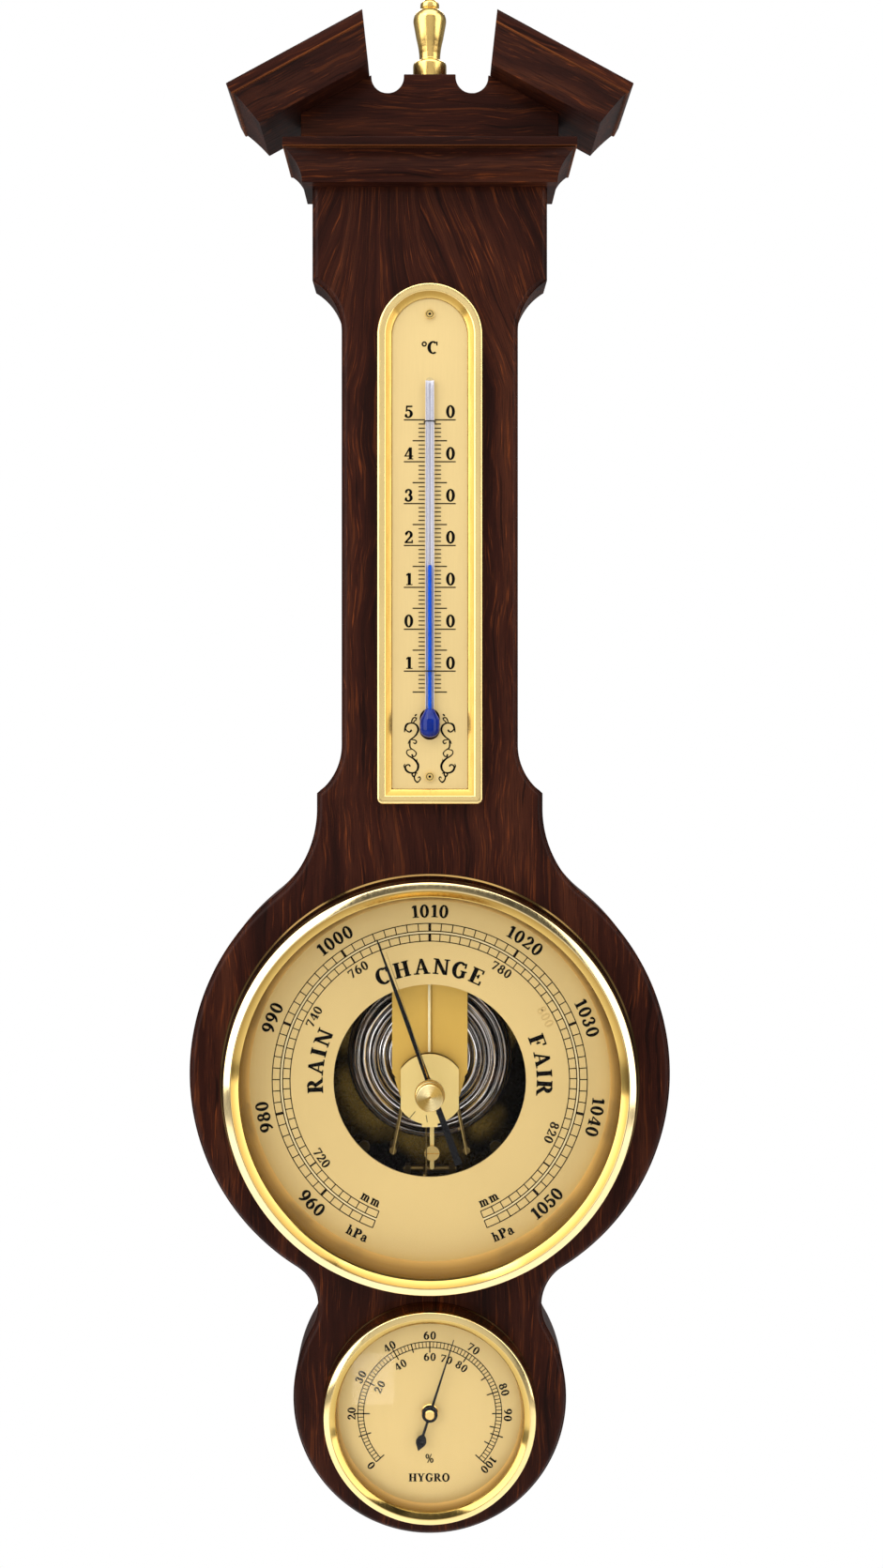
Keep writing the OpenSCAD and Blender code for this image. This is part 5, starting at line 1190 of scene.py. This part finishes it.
def print_hygrometer():
    """The fine scale with its figures on both sides, the sign for per cent and the dial's word."""
    z, rim, low, end = HYGRO_Z - 0.6, 25.45, 23.4, 132
    lines = [dial_arc(z, r, 0.32, -end, end) for r in (low, rim)]
    lines += [dial_tick(z, angle, low, rim, 0.28) for angle in range(3 - end, end, 3)]
    for angle, r0, r1 in ((-end, 21.7, rim), (end, 21.7, rim + 1), (-108, 21.8, 26.4), (-90, 21.2, 27),
                          (-63, 21.9, rim), (-30, 22, 26.4), (-15, 22.3, rim), (0, 21.6, rim),
                          (33, 21.7, rim), (57, 21.6, low), (72, 21.2, rim), (90, 22, rim), (102, 21.6, low),
                          (108, 22.5, 27.2), (117, 21.6, low)):
        lines.append(dial_tick(z, angle, r0, r1, 0.42))
    printed("hygrometer_scale_lines", lines, HYGRO_DIAL_H, thick=0.04)
    figures = line_of("%", -0.1, z - 17.3, 3.0) + line_of("HYGRO", -0.2, z - 23.95, 2.8, 0.1)
    for text, angle in (("0", -131.5), ("20", -90), ("30", -62), ("40", -31), ("60", 0), ("70", 34),
                        ("80", 72), ("90", 91), ("100", 131)):
        figures += round_of(text, z, 26.3, angle, 2.7)
    for text, angle in (("40", -31), ("60", 0), ("20", -62), ("70", 17), ("80", 34)):
        figures += round_of(text, z, 18.8, angle, 2.6)
    printed("hygrometer_figures", figures, HYGRO_DIAL_H, thick=0.04)


# The scroll left of the bulb: for each of its strokes the points along it and how wide it is at each
SCROLL = (
    ([(-4.6, -173.7), (-5.0, -174.0), (-5.3, -174.4)], (0.3, 0.62, 0.3)),
    ([(-6.5, -176.6), (-6.2, -175.6), (-5.6, -174.9), (-4.6, -175.1)], (0.4, 0.5, 0.42, 0.5)),
    ([(-5.8, -176.9), (-5.5, -176.2), (-5.0, -175.8), (-4.6, -175.1)], (0.4, 0.42, 0.42, 0.3)),
    ([(-9.0, -180.1), (-8.7, -178.6), (-8.2, -177.4), (-7.1, -176.9), (-5.8, -176.9), (-4.6, -177.7),
      (-4.1, -179.1), (-4.6, -180.6), (-5.6, -181.8), (-7.0, -182.9), (-7.7, -184.2)],
     (0.3, 0.7, 0.75, 0.5, 0.5, 0.66, 0.72, 0.66, 0.5, 0.5, 0.3)),
    ([(-8.6, -178.8), (-8.2, -179.5), (-7.3, -180.0), (-6.6, -179.6), (-6.8, -179.2)],
     (0.4, 0.5, 0.5, 0.6, 0.6)),
    ([(-6.5, -182.7), (-5.2, -182.9), (-4.7, -183.5), (-5.2, -184.1), (-5.9, -183.8)],
     (0.3, 0.42, 0.45, 0.5, 0.3)),
    ([(-6.9, -183.2), (-7.1, -184.5), (-6.8, -185.7), (-5.6, -186.5), (-4.8, -187.5), (-5.2, -188.5),
      (-6.0, -188.7), (-6.3, -187.9)], (0.35, 0.55, 0.5, 0.36, 0.45, 0.4, 0.5, 0.7)),
    ([(-6.6, -186.2), (-7.9, -186.5), (-8.2, -187.5), (-7.4, -188.5), (-5.9, -189.4), (-4.7, -190.6),
      (-4.1, -191.9), (-4.4, -193.4), (-5.3, -194.3), (-6.8, -194.5), (-8.1, -193.9), (-8.7, -192.8),
      (-8.4, -191.9), (-7.5, -191.6), (-6.9, -192.2)],
     (0.3, 0.4, 0.4, 0.5, 0.6, 0.8, 0.8, 0.72, 0.5, 0.6, 0.72, 0.7, 0.5, 0.5, 0.6)),
    ([(-4.5, -189.5), (-4.6, -190.1), (-4.3, -191.0)], (0.1, 0.3, 0.4)),
    ([(-8.8, -191.3), (-9.1, -191.9), (-9.0, -192.6)], (0.2, 0.4, 0.5)),
    ([(-5.7, -194.4), (-6.3, -195.0), (-5.7, -195.8), (-5.1, -195.1), (-5.3, -194.4), (-4.4, -194.7)],
     (0.5, 0.5, 0.6, 0.5, 0.4, 0.4)),
    ([(-5.6, -195.7), (-5.3, -197.0), (-4.5, -197.8), (-3.7, -197.3), (-3.3, -196.5), (-3.7, -195.9),
      (-4.2, -196.4)], (0.5, 0.5, 0.6, 0.4, 0.4, 0.4, 0.3)),
)


def print_thermometer():
    """The degrees on both sides of the tube, their figures, the sign and a scroll on each side of the
    bulb."""
    face, zero, degree = BOARD + PLATE_T, -143.55, 1.486
    lines, figures = [], line_of("C", 1.05, -45.7, 4.2) + line_of("°", -1.95, -45.85, 4.3)
    for t in range(-15, 51):
        reach = 9.2 if t % 10 == 0 else 6.1 if t % 5 == 0 else 4.0
        z = zero + t * degree
        half = 0.19 if t % 5 else 0.22
        lines += [slab(-reach, -1.75, z - half, z + half), slab(1.75, reach, z - half, z + half)]
        if t % 10 == 0:
            figures += line_of(str(abs(t) // 10), -7.45, z + 0.8, 4.25) + line_of("0", 7.35, z + 0.8, 4.25)
    printed("thermometer_lines", lines, face, SCALE_LINE, 0.04)
    printed("thermometer_figures", figures, face)
    strokes = [brushed(points, widths) for points, widths in SCROLL]
    strokes += [(left * (-1, 1), right * (-1, 1)) for left, right in strokes]
    printed("thermometer_scrolls", strokes, face)


def make_movement_details():
    """Fine seams on the cock plate, a painted highlight on the back of the bridge's rib with a painted shadow
    beside it, painted glints along the cock's legs, and the rings and dimples of the thermometer's screws."""
    cock_top, leg_top, rib_top, screw_top = 18.4, 15.5, 14.3, 25.7
    seams = ((-5.2, -11.3, -7.4, -13.9), (-1.3, -12.6, -0.9, -15.2), (2.4, -11.9, 4.2, -14.4))
    seams = [brushed([(x0, BARO_Z + z0), (x1, BARO_Z + z1)], (0.3, 0.22)) for x0, z0, x1, z1 in seams]
    printed("cock_plate_seams", seams, cock_top, thick=0.02)
    rib = BARO_Z + 9.3, BARO_Z + 36
    # Painted highlight along the back of the rib
    printed("bridge_rib_painted_highlight", [slab(-0.62, 0.2, *rib)], rib_top, PAINTED_HIGHLIGHT_BRASS, 0.03)
    # Painted shadow beside the rib
    printed("bridge_rib_painted_shadow", [slab(0.5, 0.78, *rib)], rib_top, DULL, 0.02)
    # Painted glints along the edges of the cock's legs
    legs = [brushed([(s * 9.3, BARO_Z - 8), (s * 13.2, BARO_Z - 27.5)], (0.34, 0.22)) for s in (-1, 1)]
    printed("cock_leg_painted_glints", legs, leg_top, BRASS, 0.02)
    spots = (-31.8, -195.8)
    rings = [dial_arc(z, 1.15, 0.28, 0, 360) for z in spots]
    printed("thermometer_screw_rings", rings, screw_top, DULL, 0.02)
    dimples = [dial_arc(z, 0.25, 0.45, 0, 360) for z in spots]
    printed("thermometer_screw_dimples", dimples, screw_top, thick=0.02)


# Finishes of the solids that stay
NODE_FINISH = {
    "case_dowels": DOWEL, "cornice_dowels": DOWEL, "rake_dowels": DOWEL, "finial_stud": STEEL,
    "hanger_plate": STEEL, "hanger_screws": BRASS, "thermometer_plate": PLATE, "thermometer_screws": BRASS,
    "tube_ties": BLACK, "barometer_housing": DULL, "housing_screws": BRASS, "movement_base": BRASS_IN_PAINTED_SHADE,
    "base_screws": DULL, "dial_pillars": MOVEMENT, "capsule_post": MOVEMENT, "capsule_adjuster": MOVEMENT,
    "bridge_foot": BRASS_IN_PAINTED_SHADE, "bridge_spring": BRIDGE, "bridge_screws": MOVEMENT, "main_lever": COCK,
    "lever_screw": MOVEMENT, "shaft_lugs": DULL, "rocking_shaft": DULL, "cock_posts": DULL,
    "cock_frame": DULL, "cock_pillars": MOVEMENT, "cock_plate": COCK, "pointer_arbor": STEEL,
    "hairspring": STEEL, "hairspring_stud": MOVEMENT, "drive_chain": DULL, "pressure_hand": BLACK,
    "hygrometer_housing": DULL, "coil_post": MOVEMENT, "humidity_coil": MOVEMENT,
    "humidity_arbor": BRASS, "arbor_step": MOVEMENT, "hand_bush": BRASS, "humidity_hand": BLACK,
}


def dress_nodes():
    """Gives the solids that stay their finishes."""
    for name, material in NODE_FINISH.items():
        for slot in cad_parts[name].material_slots:
            slot.link = "OBJECT"
            slot.material = material


# Stage


def place_camera():
    """The photograph's own eye: 691 mm from the wall, level, a good third of the way down the case. Its
    reach and its shift are in pixels of a picture 1671 tall."""
    picture, reach, shift_x, shift_y = 1671, 2001, 12.5, -102.5
    data = bpy.data.cameras.new("camera")
    data.sensor_width, data.lens = 36.0, 36.0 * reach / picture
    data.shift_x, data.shift_y = shift_x / picture, shift_y / picture
    data.clip_start, data.clip_end = 0.05, 20
    camera = bpy.data.objects.new("camera", data)
    bpy.context.collection.objects.link(camera)
    camera.location = (0, -0.691, -0.16433)
    camera.rotation_euler = (math.pi / 2, 0, 0)
    bpy.context.scene.camera = camera


def lamp(name, place, target, size, power):
    """A soft oblong white light that looks from place to target."""
    data = bpy.data.lights.new(name, "AREA")
    data.shape, data.size, data.size_y = "RECTANGLE", size[0], size[1]
    data.energy = power
    light = bpy.data.objects.new(name, data)
    bpy.context.collection.objects.link(light)
    light.location = place
    aim = np.array(target) - np.array(place)
    light.rotation_euler = Vector(aim).to_track_quat("-Z", "Y").to_euler()


def make_world():
    """The studio's walls as seen in reflections: a broad white card round the camera, then a darker stretch
    and lit side walls, mottled in soft patches all but the card. What the camera itself sees past the case
    is white."""
    world = bpy.data.worlds.new("studio")
    bpy.context.scene.world = world
    world.use_nodes = True
    tree = world.node_tree
    tree.nodes.clear()
    link = tree.links.new

    def new(kind, **sockets):
        node = tree.nodes.new("ShaderNode" + kind)
        for key, value in sockets.items():
            node.inputs[key.replace("_", " ")].default_value = value
        return node

    at = new("TexCoord").outputs["Generated"]
    split = new("SeparateXYZ")
    forward = new("MapRange", From_Min=1, From_Max=-1)
    link(at, split.inputs[0])
    link(split.outputs["Y"], forward.inputs["Value"])

    walls = new("ValToRGB")
    link(forward.outputs[0], walls.inputs[0])
    stops = [(0.0, 0.35), (0.45, 0.3), (0.54, 0.75), (0.62, 0.42), (0.72, 0.13), (0.88, 0.11), (0.93, 0.6),
             (1.0, 0.82)]
    for i, (place, grey) in enumerate(stops):
        stop = walls.color_ramp.elements[i] if i < 2 else walls.color_ramp.elements.new(place)
        stop.position, stop.color = place, (grey, grey, grey, 1)

    mottle = new("TexNoise", Scale=2.3, Detail=1.0)
    patches = new("MapRange", From_Min=0.39, From_Max=0.61, To_Min=0.35, To_Max=1.15)
    card = new("MapRange", From_Min=0.90, From_Max=0.94)
    share = new("Mix")
    share.inputs[3].default_value = 1.0
    link(at, mottle.inputs["Vector"])
    link(mottle.outputs[0], patches.inputs["Value"])
    link(forward.outputs[0], card.inputs["Value"])
    link(card.outputs[0], share.inputs[0])
    link(patches.outputs[0], share.inputs[2])

    lit = new("VectorMath")
    lit.operation = "MULTIPLY"
    link(walls.outputs[0], lit.inputs[0])
    link(share.outputs[0], lit.inputs[1])

    room, white = new("Background"), new("Background", Color=(1, 1, 1, 1))
    mix, out = new("MixShader"), new("OutputWorld")
    link(lit.outputs[0], room.inputs[0])
    link(new("LightPath").outputs["Is Camera Ray"], mix.inputs[0])
    link(room.outputs[0], mix.inputs[1])
    link(white.outputs[0], mix.inputs[2])
    link(mix.outputs[0], out.inputs[0])


def lay_floor():
    """White paper under the case, that isn't part of it."""
    z = -0.9
    mesh = bpy.data.meshes.new("floor")
    mesh.from_pydata([(-5, -6, z), (5, -6, z), (5, 0.7, z), (-5, 0.7, z)], [], [(0, 1, 2, 3)])
    floor = bpy.data.objects.new("floor", mesh)
    bpy.context.collection.objects.link(floor)
    f = Finish("floor_paper")
    tone = f.noise(f.spread(), 3.0, 2.0)
    floor.data.materials.append(f.shade(Base_Color=f.ramp(tone, [(0.3, 0.9), (0.7, 0.94)]), Roughness=0.7))


def light_stage():
    """The studio, soft lights at the left, right, top and back, and a small faint one that the glass of the
    hygrometer mirrors as a window."""
    make_world()
    middle = (0, 0, -0.2)
    lamp("left_light", (-1.15, -0.8, 0.3), middle, (1.3, 2.0), 27)
    lamp("right_light", (1.25, -0.7, 0.2), middle, (1.0, 2.0), 16)
    lamp("top_light", (0.0, -0.6, 1.05), middle, (1.6, 1.0), 15)
    lamp("back_light", (0.0, 1.25, 1.15), (0, 0, -0.25), (1.2, 0.6), 16)
    lamp("window", (-0.052, -1.1, -0.8), (-0.02, 0, -0.41), (0.038, 0.044), 0.028)
    lay_floor()
    bpy.context.scene.view_settings.view_transform = "Standard"


place_camera()
make_case()
make_cornice()
make_rake("left_rake_moulding", "raking_cornice_left", 1, WOOD_LEFT)
make_rake("right_rake_moulding", "raking_cornice_right", -1, WOOD_RIGHT)
make_tympanum()
make_finial()
make_frame()
make_tube()
make_instrument_rings()
make_dials()
make_capsule()
make_knob()
make_set_hand()
print_barometer()
print_hygrometer()
print_thermometer()
make_movement_details()
dress_nodes()
light_stage()
